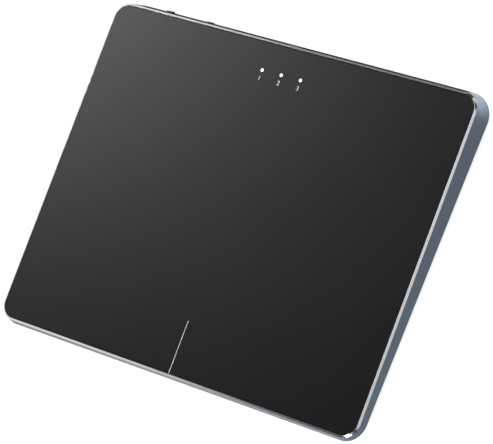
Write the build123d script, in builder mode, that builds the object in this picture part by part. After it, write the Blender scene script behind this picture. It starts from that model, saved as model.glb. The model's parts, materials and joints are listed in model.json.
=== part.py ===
from build123d import *
import math
import os

os.makedirs("parts", exist_ok=True)

# Wireless trackpad: a drafted wedge frame round a touch plate that turns on two pins at the rear.
# The origin is on the surface it stands on, under the middle of the frame.
# +X points to the user's right, +Y to the rear and +Z up. Lengths are in millimetres.

# Overall wedge. Wall heights are square to the touch face, at the front and rear of the opening.
face_width = 160.0
face_depth = 125.0
face_corner_radius = 5.5
rear_wall_height = 7.6
front_wall_height = 3.3
wall_draft = 15.0
corner_growth = 0.2
rim_land = 0.1
rim_width = 0.85
rim_drop = 0.62
foot_stand = 0.8
cover_reveal = 1.2

# Touch plate, from the touch surface downwards
plate_gap = 0.2
surface_thickness = 0.9
adhesive_thickness = 0.1
board_thickness = 0.8
stiffener_thickness = 0.4
board_margin = 0.6
board_front_margin = 3.2
board_rear_margin = 1.6
line_width = 0.45
line_length = 20.0
line_groove_depth = 0.06

# Indicators: three lights on a row parallel to the rear edge
light_pitch = 8.55
light_inset = 10.58
lens_radius = 0.6
lens_clearance = 0.02
led_length = 1.0
led_width = 0.5
led_height = 0.4
led_pocket_margin = 0.3
led_headroom = 0.1

# Bottom cover
cover_thickness = 0.9
cover_inset = 0.7
cover_edge_chamfer = 0.4
cover_flange_width = 2.2
rib_width = 0.8
cross_rib_gap = 8.0
seat_clearance = 0.15
tongue_width = 12.0
tongue_thickness = 0.9
tongue_height = 1.1
tongue_side_inset = 28.0
hook_reach = 0.5
hook_height = 0.45
notch_clearance = 0.08

# Feet
foot_radius = 5.0
foot_recess = 0.3
foot_edge = 0.25
foot_side_inset = 14.0
foot_front_inset = 12.6
foot_rear_inset = 17.6
foot_clearance = 0.05

# Screws
cover_screw_radius = 1.0
cover_head_radius = 1.8
cover_head_height = 0.75
cover_head_sink = 0.08
screw_clearance = 0.03
boss_wall = 1.6
boss_headroom = 0.8
boss_skin = 0.7
rear_boss_side_inset = 6.5
rear_boss_inset = 4.6
side_boss_y = 8.0
side_boss_inset = 3.6
small_screw_radius = 0.7
small_head_radius = 1.35
small_head_height = 0.7
recess_width = 0.35
recess_length = 1.6
recess_depth = 0.4

# Hinges
hinge_side_inset = 12.4
hinge_rear_inset = 8.8
hinge_drop = 1.65
hinge_pin_radius = 0.75
running_clearance = 0.05
arm_thickness = 0.4
arm_radius = 1.45
arm_spacing = 3.0
ear_thickness = 0.8
ear_radius = 1.4
ear_gap = 0.15
pin_head_radius = 1.1
pin_head_thickness = 0.35
bracket_thickness = 0.8
bracket_bottom_gap = 1.0
hinge_block_width = 7.0
hinge_block_depth = 5.2
hinge_block_height = 2.2

# Main board
pcb_thickness = 1.0
pcb_end_margin = 4.9
pcb_right = 46.0
pcb_depth = 12.0
pcb_stand = 0.9
pcb_pilot_depth = 1.2
pcb_wall_gap = 0.4
pcb_post_radius = 2.0
pcb_screw_middle_x = -9.0
pcb_screw_right_x = 43.0
pcb_screw_inset = 2.6

# Charging socket
usb_width = 8.94
usb_height = 3.26
usb_wall = 0.3
usb_length = 7.4
usb_wall_recess = 0.35
usb_clearance = 0.15
usb_back = 2.2
tongue_plate_width = 6.7
tongue_plate_height = 0.7
tongue_plate_recess = 0.8

# Slide switch and its knob
controls_height = 2.2
knob_side_inset = 20.8
knob_width = 2.5
knob_height = 2.2
knob_stand = 0.7
knob_travel = 2.0
knob_edge = 0.2
knob_clearance = 0.25
shutter_thickness = 0.6
shutter_gap = 0.2
shutter_overlap = 0.3
slide_body_width = 8.6
slide_body_depth = 3.4
slide_body_height = 3.4
lever_width = 1.4
lever_height = 1.2
lever_depth = 1.4
lever_grip = 1.0
lever_clearance = 0.1

# Push switch and its cap
button_pitch = 18.7
button_radius = 1.7
button_stand = 0.5
button_travel = 0.4
button_clearance = 0.15
button_edge = 0.25
button_flange_radius = 2.05
button_flange_thickness = 0.6
push_body_width = 4.6
push_body_depth = 3.2
push_body_height = 3.4
push_plunger_radius = 0.75
push_plunger_length = 1.1
push_plunger_depth = 1.4

# Click switch and what it strikes
click_inset = 9.0
click_travel = 0.25
click_body_size = 3.6
click_body_height = 0.6
click_plunger_radius = 0.8
click_plunger_stand = 0.25
click_plunger_depth = 0.25
click_clearance = 0.1
striker_radius = 1.5
striker_thickness = 0.2
striker_gap = 0.08
window_margin = 0.8

# Ribbon cable and its two sockets
ribbon_x = 34.0
ribbon_width = 8.0
ribbon_thickness = 0.3
ribbon_slack = 0.1
ribbon_socket_width = 10.4
ribbon_socket_depth = 3.4
ribbon_socket_height = 1.0
ribbon_socket_inset = 0.5
ribbon_entry = 2.2
ribbon_run = 0.8

# Chips
touch_chip_size = 6.0
touch_chip_height = 0.75
touch_chip_x = -30.0
touch_chip_v = 20.0
radio_chip_size = 5.0
radio_chip_height = 0.8
radio_x = 20.0
shield_width = 12.0
shield_depth = 9.0
shield_height = 1.9
shield_wall = 0.2
crystal_width = 1.6
crystal_length = 2.0
crystal_height = 0.5
charger_chip_size = 3.0
charger_chip_height = 0.75
antenna_length = 3.2
antenna_width = 1.6
antenna_height = 0.5
antenna_gap = 1.2

# Battery
cell_width = 60.0
cell_depth = 38.0
cell_thickness = 3.0
cell_gap = 8.3
cell_edge = 0.9
tape_thickness = 0.1
tape_margin = 4.0
header_x = 2.0
header_width = 5.0
header_depth = 3.0
header_height = 2.6
header_wall = 0.5
header_clearance = 0.05
plug_length = 3.2
lead_radius = 0.45
lead_pitch = 1.6
lead_bend = 1.6
lead_tail = 0.6

overrun = 20.0

# Derived places. The touch face lies on face_plane, and depth is measured down from it.
wedge_slope = (rear_wall_height - front_wall_height) / face_depth
wedge_angle = math.atan(wedge_slope)
wedge_sin = math.sin(wedge_angle)
wedge_cos = math.cos(wedge_angle)
flare = math.tan(math.radians(wall_draft))
middle_wall_height = (rear_wall_height + front_wall_height) / 2
frame_bottom = foot_stand + cover_reveal
face_height = frame_bottom + middle_wall_height * wedge_cos


def wall_outset(depth):
    """How far the drafted wall stands outside the opening, at a depth below the face."""
    return rim_width + (depth - rim_drop) * flare


def wall_corner_radius(depth):
    """Radius of the wall's corners at a depth below the face; it grows faster than the wall flares."""
    return face_corner_radius + wall_outset(depth) + (depth - rim_drop) * corner_growth


base_half_depth = face_depth / 2 + wall_outset(middle_wall_height)
rear_reach = base_half_depth / (1 - wedge_slope * flare)
front_reach = base_half_depth / (1 + wedge_slope * flare)
rear_base_depth = middle_wall_height + rear_reach * wedge_slope
front_base_depth = middle_wall_height - front_reach * wedge_slope
rear_base_y = rear_reach * wedge_cos + rear_base_depth * wedge_sin
front_base_y = front_reach * wedge_cos - front_base_depth * wedge_sin
half_length = (rear_base_y + front_base_y) / 2
face_y = half_length - rear_base_y
face_plane = Plane(origin=(0, face_y, face_height), x_dir=(1, 0, 0), z_dir=(0, -wedge_sin, wedge_cos))


def height_below_face(y, depth):
    """Height above the ground of the plane that lies at a depth below the face."""
    return face_height + (wedge_sin * (y - face_y) - depth) / wedge_cos


def rear_wall_y(z, reach, spread):
    """Y of a rear wall at a height; reach is its place at the face, spread its flare with depth."""
    rise = z - face_height
    return face_y + (reach - rise * (wedge_sin + spread * wedge_cos)) / (wedge_cos - spread * wedge_sin)


def inner_rear_y(z):
    """Y of the inside of the rear wall at a height."""
    return rear_wall_y(z, face_depth / 2, 0)


def outer_rear_y(z):
    """Y of the outside of the rear wall at a height."""
    return rear_wall_y(z, face_depth / 2 + wall_outset(0), flare)


def inner_front_y(z):
    """Y of the inside of the front wall at a height."""
    return rear_wall_y(z, -face_depth / 2, 0)


board_depth_below = surface_thickness + adhesive_thickness
board_underside = board_depth_below + board_thickness
stack_depth = board_underside + stiffener_thickness
cover_floor = foot_stand + cover_thickness
pcb_bottom = cover_floor + pcb_stand
pcb_top = pcb_bottom + pcb_thickness
pcb_rear_y = inner_rear_y(pcb_top) - pcb_wall_gap
pcb_front_y = pcb_rear_y - pcb_depth
knob_x = knob_side_inset - face_width / 2
button_x = knob_x + button_pitch
pcb_left_x = knob_x - pcb_end_margin
pcb_screw_xs = ((knob_x + knob_travel + button_x) / 2, pcb_screw_middle_x, pcb_screw_right_x)
controls_z = pcb_top + controls_height
wall_lean = wedge_angle + math.radians(wall_draft)
rear_face = Plane(
    origin=(0, outer_rear_y(controls_z), controls_z),
    x_dir=(-1, 0, 0),
    z_dir=(0, math.cos(wall_lean), math.sin(wall_lean)),
)
foot_x = face_width / 2 - foot_side_inset
foot_front_y = half_length - foot_front_inset
foot_rear_y = half_length - foot_rear_inset
hinge_x = face_width / 2 - hinge_side_inset
hinge_y = inner_rear_y(frame_bottom) - hinge_rear_inset
hinge_z = height_below_face(hinge_y, stack_depth) - hinge_drop
rear_boss_x = face_width / 2 - rear_boss_side_inset
boss_radius = cover_screw_radius + boss_wall
rear_boss_y = inner_rear_y(frame_bottom) - rear_boss_inset
side_boss_x = face_width / 2 - side_boss_inset
boss_places = [
    (-rear_boss_x, rear_boss_y),
    (rear_boss_x, rear_boss_y),
    (-side_boss_x, side_boss_y),
    (side_boss_x, side_boss_y),
]
boss_top_depth = stack_depth + boss_headroom
side_boss_top = height_below_face(side_boss_y, boss_top_depth)
tongue_x = face_width / 2 - tongue_side_inset
tongue_places = [-tongue_x, 0, tongue_x]
hook_bottom = frame_bottom + tongue_height - hook_height
click_v = click_inset - face_depth / 2
click_plunger_tip = board_underside + click_body_height + click_plunger_stand
click_y = face_y + click_v * wedge_cos + click_plunger_tip * wedge_sin
striker_top = height_below_face(click_y, click_plunger_tip) - striker_gap
usb_z = pcb_top + usb_height / 2
usb_mouth_y = outer_rear_y(usb_z) - usb_wall_recess
usb_rear_y = usb_mouth_y - usb_length
knob_slot_x = knob_x + knob_travel / 2
knob_slot_width = knob_width + knob_travel + 2 * knob_clearance
knob_slot_height = knob_height + 2 * knob_clearance
shutter_rear_y = inner_rear_y(controls_z + knob_slot_height) - shutter_gap
slide_body_y = shutter_rear_y - shutter_thickness - shutter_gap
lever_front_y = slide_body_y - lever_depth
button_flange_y = inner_rear_y(controls_z + button_flange_radius) - shutter_gap
push_body_y = button_flange_y - button_flange_thickness - push_plunger_length
bracket_top = hinge_z - ear_radius - bracket_bottom_gap + bracket_thickness
bracket_bottom = bracket_top - bracket_thickness
hinge_block_rear_y = inner_rear_y(bracket_top)
hinge_block_y = hinge_block_rear_y - hinge_block_depth
hinge_screw_y = hinge_block_y + hinge_block_depth / 2
ear_offset = arm_spacing / 2 + arm_thickness + ear_gap
hinge_half_width = ear_offset + ear_thickness
cell_bottom = cover_floor + tape_thickness
cell_rear_y = pcb_front_y - cell_gap
cell_front_y = cell_rear_y - cell_depth
cell_middle_y = cell_front_y + cell_depth / 2
cross_rib_y = cell_front_y - cross_rib_gap


# Side frame: one aluminium ring. Its walls flare outwards from a bevelled rim down to the base,
# and bosses inside it take the cover's and the hinges' screws.
def face_outline(outset, corner_radius):
    """The rounded outline of the opening, grown by an outset all round."""
    RectangleRounded(face_width + 2 * outset, face_depth + 2 * outset, corner_radius)


with BuildPart() as frame_bosses:
    with BuildSketch(Plane.XY.offset(frame_bottom)):
        with Locations(*boss_places):
            Circle(boss_radius)
        with Locations((-rear_boss_x, rear_boss_y), (rear_boss_x, rear_boss_y)):
            Rectangle(2 * boss_radius, rear_boss_inset + rim_land, align=(Align.CENTER, Align.MIN))
        with Locations((side_boss_x, side_boss_y)):
            Rectangle(side_boss_inset + rim_land, 2 * boss_radius, align=(Align.MIN, Align.CENTER))
        with Locations((-side_boss_x, side_boss_y)):
            Rectangle(side_boss_inset + rim_land, 2 * boss_radius, align=(Align.MAX, Align.CENTER))
    extrude(amount=overrun)
    with BuildSketch(Plane.XY.offset(bracket_top)):
        for side in (-1, 1):
            with Locations((side * hinge_x, hinge_block_y)):
                Rectangle(
                    hinge_block_width, hinge_block_depth + rim_width, align=(Align.CENTER, Align.MIN)
                )
    extrude(amount=hinge_block_height)
    split(bisect_by=face_plane.offset(-boss_top_depth), keep=Keep.BOTTOM)

with BuildPart() as side_frame:
    with BuildSketch(face_plane):
        face_outline(rim_land, face_corner_radius + rim_land)
    with BuildSketch(face_plane.offset(-rim_drop)):
        face_outline(rim_width, wall_corner_radius(rim_drop))
    loft(ruled=True)
    with BuildSketch(face_plane.offset(-rim_drop)):
        face_outline(rim_width, wall_corner_radius(rim_drop))
    with BuildSketch(face_plane.offset(-overrun)):
        face_outline(wall_outset(overrun), wall_corner_radius(overrun))
    loft(ruled=True)
    split(bisect_by=Plane.XY.offset(frame_bottom), keep=Keep.TOP)
    with BuildSketch(face_plane):
        face_outline(0, face_corner_radius)
    extrude(amount=-overrun, mode=Mode.SUBTRACT)
    add(frame_bosses.part)
    # Pilot holes for the cover screws and, from below, for the hinge screws
    with BuildSketch(Plane.XY.offset(frame_bottom)):
        with Locations(*boss_places[:2]):
            Circle(cover_screw_radius + screw_clearance)
    extrude(amount=hinge_block_height + cover_thickness, mode=Mode.SUBTRACT)
    with BuildSketch(Plane.XY.offset(frame_bottom)):
        with Locations(*boss_places[2:]):
            Circle(cover_screw_radius + screw_clearance)
    extrude(amount=side_boss_top - frame_bottom - boss_skin, mode=Mode.SUBTRACT)
    with BuildSketch(Plane.XY.offset(bracket_top)):
        with Locations((-hinge_x, hinge_screw_y), (hinge_x, hinge_screw_y)):
            Circle(small_screw_radius + screw_clearance)
    extrude(amount=hinge_block_height - boss_skin, mode=Mode.SUBTRACT)
    # Notches for the cover's front hooks
    with BuildSketch(Plane.XY.offset(hook_bottom - notch_clearance)):
        for x in tongue_places:
            with Locations((x, inner_front_y(frame_bottom))):
                Rectangle(tongue_width + 2 * notch_clearance, 2 * hook_reach)
    extrude(amount=hook_height + 2 * notch_clearance, mode=Mode.SUBTRACT)
    # Charging port, slide switch slot and button hole through the rear wall
    with BuildSketch(Plane.XZ.offset(-half_length - overrun)):
        with Locations((0, usb_z)):
            SlotOverall(usb_width + 2 * usb_clearance, usb_height + 2 * usb_clearance)
        with Locations((knob_slot_x, controls_z)):
            RectangleRounded(knob_slot_width, knob_slot_height, knob_clearance)
        with Locations((button_x, controls_z)):
            Circle(button_radius + button_clearance)
    extrude(amount=overrun + hinge_block_depth, mode=Mode.SUBTRACT)
side_frame.part.label = "side_frame"
export_step(side_frame.part, "parts/side_frame.step")


# Bottom cover: a moulded tray under the frame, hooked at the front and screwed at the sides and rear
def base_outline(inset):
    """The frame's base outline, wider at the rear than at the front, drawn in by an inset."""
    rear_half = face_width / 2 + wall_outset(rear_base_depth) - inset
    front_half = face_width / 2 + wall_outset(front_base_depth) - inset
    rear_y = half_length - inset
    front_y = inset - half_length
    Polygon(
        (-front_half, front_y), (front_half, front_y), (rear_half, rear_y), (-rear_half, rear_y), align=None
    )


rear_corner_radius = wall_corner_radius(rear_base_depth)
front_corner_radius = wall_corner_radius(front_base_depth)

with BuildPart() as bottom_cover:
    with BuildSketch(Plane.XY.offset(foot_stand)) as cover_outline:
        base_outline(cover_inset)
        fillet(cover_outline.vertices().sort_by(Axis.Y)[-2:], rear_corner_radius - cover_inset)
        fillet(cover_outline.vertices().sort_by(Axis.Y)[:2], front_corner_radius - cover_inset)
    extrude(amount=cover_reveal)
    chamfer(bottom_cover.faces().sort_by(Axis.Z)[0].edges(), cover_edge_chamfer)
    with BuildSketch(Plane.XY.offset(cover_floor)) as cover_pocket:
        base_outline(cover_inset + cover_flange_width)
        fillet(
            cover_pocket.vertices().sort_by(Axis.Y)[-2:],
            rear_corner_radius - cover_inset - cover_flange_width,
        )
        fillet(
            cover_pocket.vertices().sort_by(Axis.Y)[:2],
            front_corner_radius - cover_inset - cover_flange_width,
        )
        # Pads under the frame's bosses stay at full thickness
        with Locations(*boss_places):
            Circle(boss_radius + rib_width, mode=Mode.SUBTRACT)
        # Ribs across the front half
        for x in (-tongue_x, -tongue_x / 2, tongue_x / 2, tongue_x):
            with Locations((x, cross_rib_y)):
                Rectangle(rib_width, face_depth, align=(Align.CENTER, Align.MAX), mode=Mode.SUBTRACT)
        with Locations((0, cross_rib_y)):
            Rectangle(face_width, rib_width, mode=Mode.SUBTRACT)
    extrude(amount=cover_reveal - cover_thickness, mode=Mode.SUBTRACT)
    # Posts under the main board
    with BuildSketch(Plane.XY.offset(cover_floor)):
        for x in pcb_screw_xs:
            with Locations((x, pcb_front_y + pcb_screw_inset)):
                Circle(pcb_post_radius)
    extrude(amount=pcb_stand)
    # Rails under the rear edge of the main board
    with BuildSketch(Plane.XY.offset(cover_floor)):
        for x in (knob_slot_x, button_x, usb_width, radio_x, ribbon_x):
            with Locations((x, pcb_rear_y - pcb_screw_inset)):
                Rectangle(pcb_post_radius, pcb_post_radius)
    extrude(amount=pcb_stand)
    # Boss under the click switch
    with BuildSketch(Plane.XY.offset(cover_floor)):
        with Locations((0, click_y)):
            Circle(striker_radius + rib_width / 2)
    extrude(amount=striker_top - striker_thickness - cover_floor)
    # Front tongues with their hooks
    with BuildSketch(Plane.XY.offset(cover_floor)):
        for x in tongue_places:
            with Locations((x, inner_front_y(frame_bottom) + seat_clearance)):
                Rectangle(tongue_width, tongue_thickness, align=(Align.CENTER, Align.MIN))
    extrude(amount=frame_bottom - cover_floor + tongue_height)
    with BuildSketch(Plane.XY.offset(hook_bottom)):
        for x in tongue_places:
            with Locations((x, inner_front_y(frame_bottom) - hook_reach + notch_clearance)):
                Rectangle(
                    tongue_width, hook_reach + seat_clearance, align=(Align.CENTER, Align.MIN)
                )
    extrude(amount=hook_height)
    # Holes for the cover screws, with countersinks from below
    with BuildSketch(Plane.XY.offset(foot_stand)):
        with Locations(*boss_places):
            Circle(cover_screw_radius + screw_clearance)
    extrude(amount=cover_reveal, mode=Mode.SUBTRACT)
    for place in boss_places:
        with BuildSketch(Plane.XY.offset(foot_stand)):
            with Locations(place):
                Circle(cover_head_radius + screw_clearance)
        with BuildSketch(Plane.XY.offset(foot_stand + cover_head_sink)):
            with Locations(place):
                Circle(cover_head_radius + screw_clearance)
        loft(ruled=True, mode=Mode.SUBTRACT)
        with BuildSketch(Plane.XY.offset(foot_stand + cover_head_sink)):
            with Locations(place):
                Circle(cover_head_radius + screw_clearance)
        with BuildSketch(Plane.XY.offset(foot_stand + cover_head_sink + cover_head_height)):
            with Locations(place):
                Circle(cover_screw_radius + screw_clearance)
        loft(ruled=True, mode=Mode.SUBTRACT)
    # Pilot holes for the main board's screws
    with BuildSketch(Plane.XY.offset(pcb_bottom)):
        for x in pcb_screw_xs:
            with Locations((x, pcb_front_y + pcb_screw_inset)):
                Circle(small_screw_radius + screw_clearance)
    extrude(amount=-pcb_pilot_depth, mode=Mode.SUBTRACT)
    # Recesses for the feet
    with BuildSketch(Plane.XY.offset(foot_stand)):
        with Locations((-foot_x, foot_rear_y), (foot_x, foot_rear_y), (-foot_x, -foot_front_y)):
            Circle(foot_radius + foot_clearance)
        with Locations((foot_x, -foot_front_y)):
            Circle(foot_radius + foot_clearance)
    extrude(amount=foot_recess, mode=Mode.SUBTRACT)
bottom_cover.part.label = "bottom_cover"
export_step(bottom_cover.part, "parts/bottom_cover.step")

# Feet: four round rubber pads glued into the cover's recesses
with BuildPart() as rubber_feet:
    with BuildSketch():
        with Locations((-foot_x, foot_rear_y), (foot_x, foot_rear_y), (-foot_x, -foot_front_y)):
            Circle(foot_radius)
        with Locations((foot_x, -foot_front_y)):
            Circle(foot_radius)
    extrude(amount=foot_stand + foot_recess)
    chamfer(rubber_feet.edges().group_by(Axis.Z)[0], foot_edge)
rubber_feet.part.label = "rubber_feet"
export_step(rubber_feet.part, "parts/rubber_feet.step")


# Screws, each with a smooth shank where its thread is, and a cross recess in its head
def cross_recess(place):
    """Two crossed slots, centred on a screw's head."""
    with Locations(place):
        Rectangle(recess_length, recess_width)
        Rectangle(recess_width, recess_length)


cover_shank_top = [
    frame_bottom + hinge_block_height,
    frame_bottom + hinge_block_height,
    side_boss_top - boss_skin - screw_clearance,
    side_boss_top - boss_skin - screw_clearance,
]

with BuildPart() as cover_screws:
    for place, top in zip(boss_places, cover_shank_top):
        head_bottom = foot_stand + cover_head_sink
        with BuildSketch(Plane.XY.offset(head_bottom)):
            with Locations(place):
                Circle(cover_head_radius)
        with BuildSketch(Plane.XY.offset(head_bottom + cover_head_height)):
            with Locations(place):
                Circle(cover_screw_radius)
        loft(ruled=True)
        with BuildSketch(Plane.XY.offset(head_bottom + cover_head_height)):
            with Locations(place):
                Circle(cover_screw_radius)
        extrude(amount=top - head_bottom - cover_head_height)
        with BuildSketch(Plane.XY.offset(head_bottom)):
            cross_recess(place)
        extrude(amount=recess_depth, mode=Mode.SUBTRACT)
cover_screws.part.label = "cover_screws"
export_step(cover_screws.part, "parts/cover_screws.step")


# Touch plate: surface, adhesive, sensor board and steel stiffener, stacked down from the face
def plate_outline(inset):
    """The plate's outline, inside the frame's opening by the running gap and an inset."""
    margin = plate_gap + inset
    RectangleRounded(face_width - 2 * margin, face_depth - 2 * margin, face_corner_radius - margin)


def board_outline():
    """The sensor board's outline, which stops short of the front edge to clear the tongues."""
    front = board_front_margin - face_depth / 2
    rear = face_depth / 2 - board_rear_margin
    side_margin = plate_gap + board_margin
    with Locations((0, (front + rear) / 2)):
        RectangleRounded(face_width - 2 * side_margin, rear - front, face_corner_radius - side_margin)


light_v = face_depth / 2 - light_inset
light_places = [(-light_pitch, light_v), (0, light_v), (light_pitch, light_v)]
led_pocket_length = led_length + 2 * led_pocket_margin
led_pocket_width = led_width + 2 * led_pocket_margin
led_pocket_depth = led_height + led_headroom - adhesive_thickness

with BuildPart() as touch_surface:
    with BuildSketch(face_plane):
        plate_outline(0)
    extrude(amount=-surface_thickness)
    with BuildSketch(face_plane):
        with Locations(*light_places):
            Circle(lens_radius + lens_clearance)
    extrude(amount=-surface_thickness, mode=Mode.SUBTRACT)
    with BuildSketch(face_plane.offset(-surface_thickness)):
        with Locations(*light_places):
            Rectangle(led_pocket_length, led_pocket_width)
    extrude(amount=led_pocket_depth, mode=Mode.SUBTRACT)
    # Groove of the short line between the left and right click areas
    with BuildSketch(face_plane):
        with Locations((0, plate_gap - face_depth / 2)):
            Rectangle(line_width, line_length, align=(Align.CENTER, Align.MIN))
    extrude(amount=-line_groove_depth, mode=Mode.SUBTRACT)
touch_surface.part.label = "touch_surface"
export_step(touch_surface.part, "parts/touch_surface.step")

with BuildPart() as surface_adhesive:
    with BuildSketch(face_plane.offset(-surface_thickness)):
        board_outline()
        with Locations(*light_places):
            Rectangle(led_pocket_length, led_pocket_width, mode=Mode.SUBTRACT)
    extrude(amount=-adhesive_thickness)
surface_adhesive.part.label = "surface_adhesive"
export_step(surface_adhesive.part, "parts/surface_adhesive.step")

with BuildPart() as sensor_board:
    with BuildSketch(face_plane.offset(-board_depth_below)):
        board_outline()
    extrude(amount=-board_thickness)
sensor_board.part.label = "sensor_board"
export_step(sensor_board.part, "parts/sensor_board.step")

with BuildPart() as indicator_leds:
    with BuildSketch(face_plane.offset(-board_depth_below)):
        with Locations(*light_places):
            Rectangle(led_length, led_width)
    extrude(amount=led_height)
indicator_leds.part.label = "indicator_leds"
export_step(indicator_leds.part, "parts/indicator_leds.step")

with BuildPart() as indicator_lenses:
    with BuildSketch(face_plane):
        with Locations(*light_places):
            Circle(lens_radius)
    extrude(amount=led_pocket_depth - surface_thickness)
indicator_lenses.part.label = "indicator_lenses"
export_step(indicator_lenses.part, "parts/indicator_lenses.step")

ribbon_socket_front_y = pcb_front_y + ribbon_socket_inset
ribbon_socket_v = (ribbon_socket_front_y - face_y) / wedge_cos + board_underside * wedge_sin
arm_places = [
    side * hinge_x + offset
    for side in (-1, 1)
    for offset in (-arm_spacing / 2 - arm_thickness, arm_spacing / 2)
]

with BuildPart() as stiffener_plate:
    with BuildSketch(face_plane.offset(-board_underside)):
        board_outline()
        # Windows for the click switch, the touch controller and the ribbon socket
        with Locations((0, click_v)):
            Rectangle(
                click_body_size + 2 * window_margin, click_body_size + 2 * window_margin,
                mode=Mode.SUBTRACT,
            )
        with Locations((touch_chip_x, touch_chip_v)):
            Rectangle(
                touch_chip_size + 2 * window_margin, touch_chip_size + 2 * window_margin,
                mode=Mode.SUBTRACT,
            )
        with Locations((ribbon_x, ribbon_socket_v + ribbon_socket_depth / 2 + ribbon_run)):
            Rectangle(
                ribbon_socket_width + 2 * window_margin,
                ribbon_socket_depth + 2 * ribbon_run + 2 * window_margin,
                mode=Mode.SUBTRACT,
            )
    extrude(amount=-stiffener_thickness)
    # Hinge arms, folded down beside each bracket's ears
    for x in arm_places:
        front_y = hinge_y - arm_radius
        rear_y = hinge_y + arm_radius
        with BuildSketch(Plane.YZ.offset(x)):
            Polygon(
                (front_y, hinge_z),
                (rear_y, hinge_z),
                (rear_y, height_below_face(rear_y, stack_depth)),
                (front_y, height_below_face(front_y, stack_depth)),
                align=None,
            )
            with Locations((hinge_y, hinge_z)):
                Circle(arm_radius)
                Circle(hinge_pin_radius + running_clearance, mode=Mode.SUBTRACT)
        extrude(amount=arm_thickness)
stiffener_plate.part.label = "stiffener_plate"
export_step(stiffener_plate.part, "parts/stiffener_plate.step")

# Hinges: each bracket is folded from sheet, with a flange under the frame's block and two ears
with BuildPart() as hinge_brackets:
    for side in (-1, 1):
        with BuildSketch(Plane.XY.offset(bracket_bottom)):
            with Locations((side * hinge_x, hinge_y - ear_radius)):
                Rectangle(
                    2 * hinge_half_width,
                    hinge_block_rear_y - plate_gap - hinge_y + ear_radius,
                    align=(Align.CENTER, Align.MIN),
                )
            with Locations((side * hinge_x, hinge_screw_y)):
                Circle(small_screw_radius + screw_clearance, mode=Mode.SUBTRACT)
        extrude(amount=bracket_thickness)
        for x in (-hinge_half_width, ear_offset):
            with BuildSketch(Plane.YZ.offset(side * hinge_x + x)):
                Polygon(
                    (hinge_y - ear_radius, bracket_top),
                    (hinge_y + ear_radius, bracket_top),
                    (hinge_y + ear_radius, hinge_z),
                    (hinge_y - ear_radius, hinge_z),
                    align=None,
                )
                with Locations((hinge_y, hinge_z)):
                    Circle(ear_radius)
                    Circle(hinge_pin_radius, mode=Mode.SUBTRACT)
            extrude(amount=ear_thickness)
hinge_brackets.part.label = "hinge_brackets"
export_step(hinge_brackets.part, "parts/hinge_brackets.step")

with BuildPart() as hinge_pins:
    for side in (-1, 1):
        pin_start = side * hinge_x - hinge_half_width
        with BuildSketch(Plane.YZ.offset(pin_start)):
            with Locations((hinge_y, hinge_z)):
                Circle(hinge_pin_radius)
        extrude(amount=2 * hinge_half_width + pin_head_thickness)
        with BuildSketch(Plane.YZ.offset(pin_start)):
            with Locations((hinge_y, hinge_z)):
                Circle(pin_head_radius)
        extrude(amount=-pin_head_thickness)
hinge_pins.part.label = "hinge_pins"
export_step(hinge_pins.part, "parts/hinge_pins.step")


def pan_screw(x, y, seat, reach, turn):
    """A small pan-head screw with its head on a seat; a turn of 180 degrees points it down."""
    upwards = (Align.CENTER, Align.CENTER, Align.MIN)
    downwards = (Align.CENTER, Align.CENTER, Align.MAX)
    with Locations(Location((x, y, seat), (turn, 0, 0))):
        Cylinder(small_screw_radius, reach, align=upwards)
        Cylinder(small_head_radius, small_head_height, align=downwards)
        with Locations((0, 0, -small_head_height)):
            Box(recess_length, recess_width, recess_depth, align=upwards, mode=Mode.SUBTRACT)
            Box(recess_width, recess_length, recess_depth, align=upwards, mode=Mode.SUBTRACT)


with BuildPart() as hinge_screws:
    for side in (-1, 1):
        shank = bracket_thickness + hinge_block_height - boss_skin - screw_clearance
        pan_screw(side * hinge_x, hinge_screw_y, bracket_bottom, shank, 0)
hinge_screws.part.label = "hinge_screws"
export_step(hinge_screws.part, "parts/hinge_screws.step")

# Click switch under the front middle of the sensor board, its plunger and the disc it strikes
with BuildPart() as click_switch_body:
    with BuildSketch(face_plane.offset(-board_underside)):
        with Locations((0, click_v)):
            Rectangle(click_body_size, click_body_size)
    extrude(amount=-click_body_height)
    with BuildSketch(face_plane.offset(-board_underside - click_body_height)):
        with Locations((0, click_v)):
            Circle(click_plunger_radius + click_clearance)
    extrude(amount=click_plunger_depth + click_travel + screw_clearance, mode=Mode.SUBTRACT)
click_switch_body.part.label = "click_switch_body"
export_step(click_switch_body.part, "parts/click_switch_body.step")

with BuildPart() as click_plunger:
    with BuildSketch(face_plane.offset(-click_plunger_tip)):
        with Locations((0, click_v)):
            Circle(click_plunger_radius)
    extrude(amount=click_plunger_stand + click_plunger_depth)
click_plunger.part.label = "click_plunger"
export_step(click_plunger.part, "parts/click_plunger.step")

with BuildPart() as striker_disc:
    with BuildSketch(Plane.XY.offset(striker_top)):
        with Locations((0, click_y)):
            Circle(striker_radius)
    extrude(amount=-striker_thickness)
striker_disc.part.label = "striker_disc"
export_step(striker_disc.part, "parts/striker_disc.step")

with BuildPart() as touch_controller:
    with BuildSketch(face_plane.offset(-board_underside)):
        with Locations((touch_chip_x, touch_chip_v)):
            Rectangle(touch_chip_size, touch_chip_size)
    extrude(amount=-touch_chip_height)
touch_controller.part.label = "touch_controller"
export_step(touch_controller.part, "parts/touch_controller.step")

# Main board, flat on the cover's posts along the rear wall
with BuildPart() as main_board:
    with BuildSketch(Plane.XY.offset(pcb_bottom)):
        with Locations((pcb_left_x, pcb_front_y)):
            Rectangle(pcb_right - pcb_left_x, pcb_depth, align=(Align.MIN, Align.MIN))
        for x in pcb_screw_xs:
            with Locations((x, pcb_front_y + pcb_screw_inset)):
                Circle(small_screw_radius + screw_clearance, mode=Mode.SUBTRACT)
    extrude(amount=pcb_thickness)
main_board.part.label = "main_board"
export_step(main_board.part, "parts/main_board.step")

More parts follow.
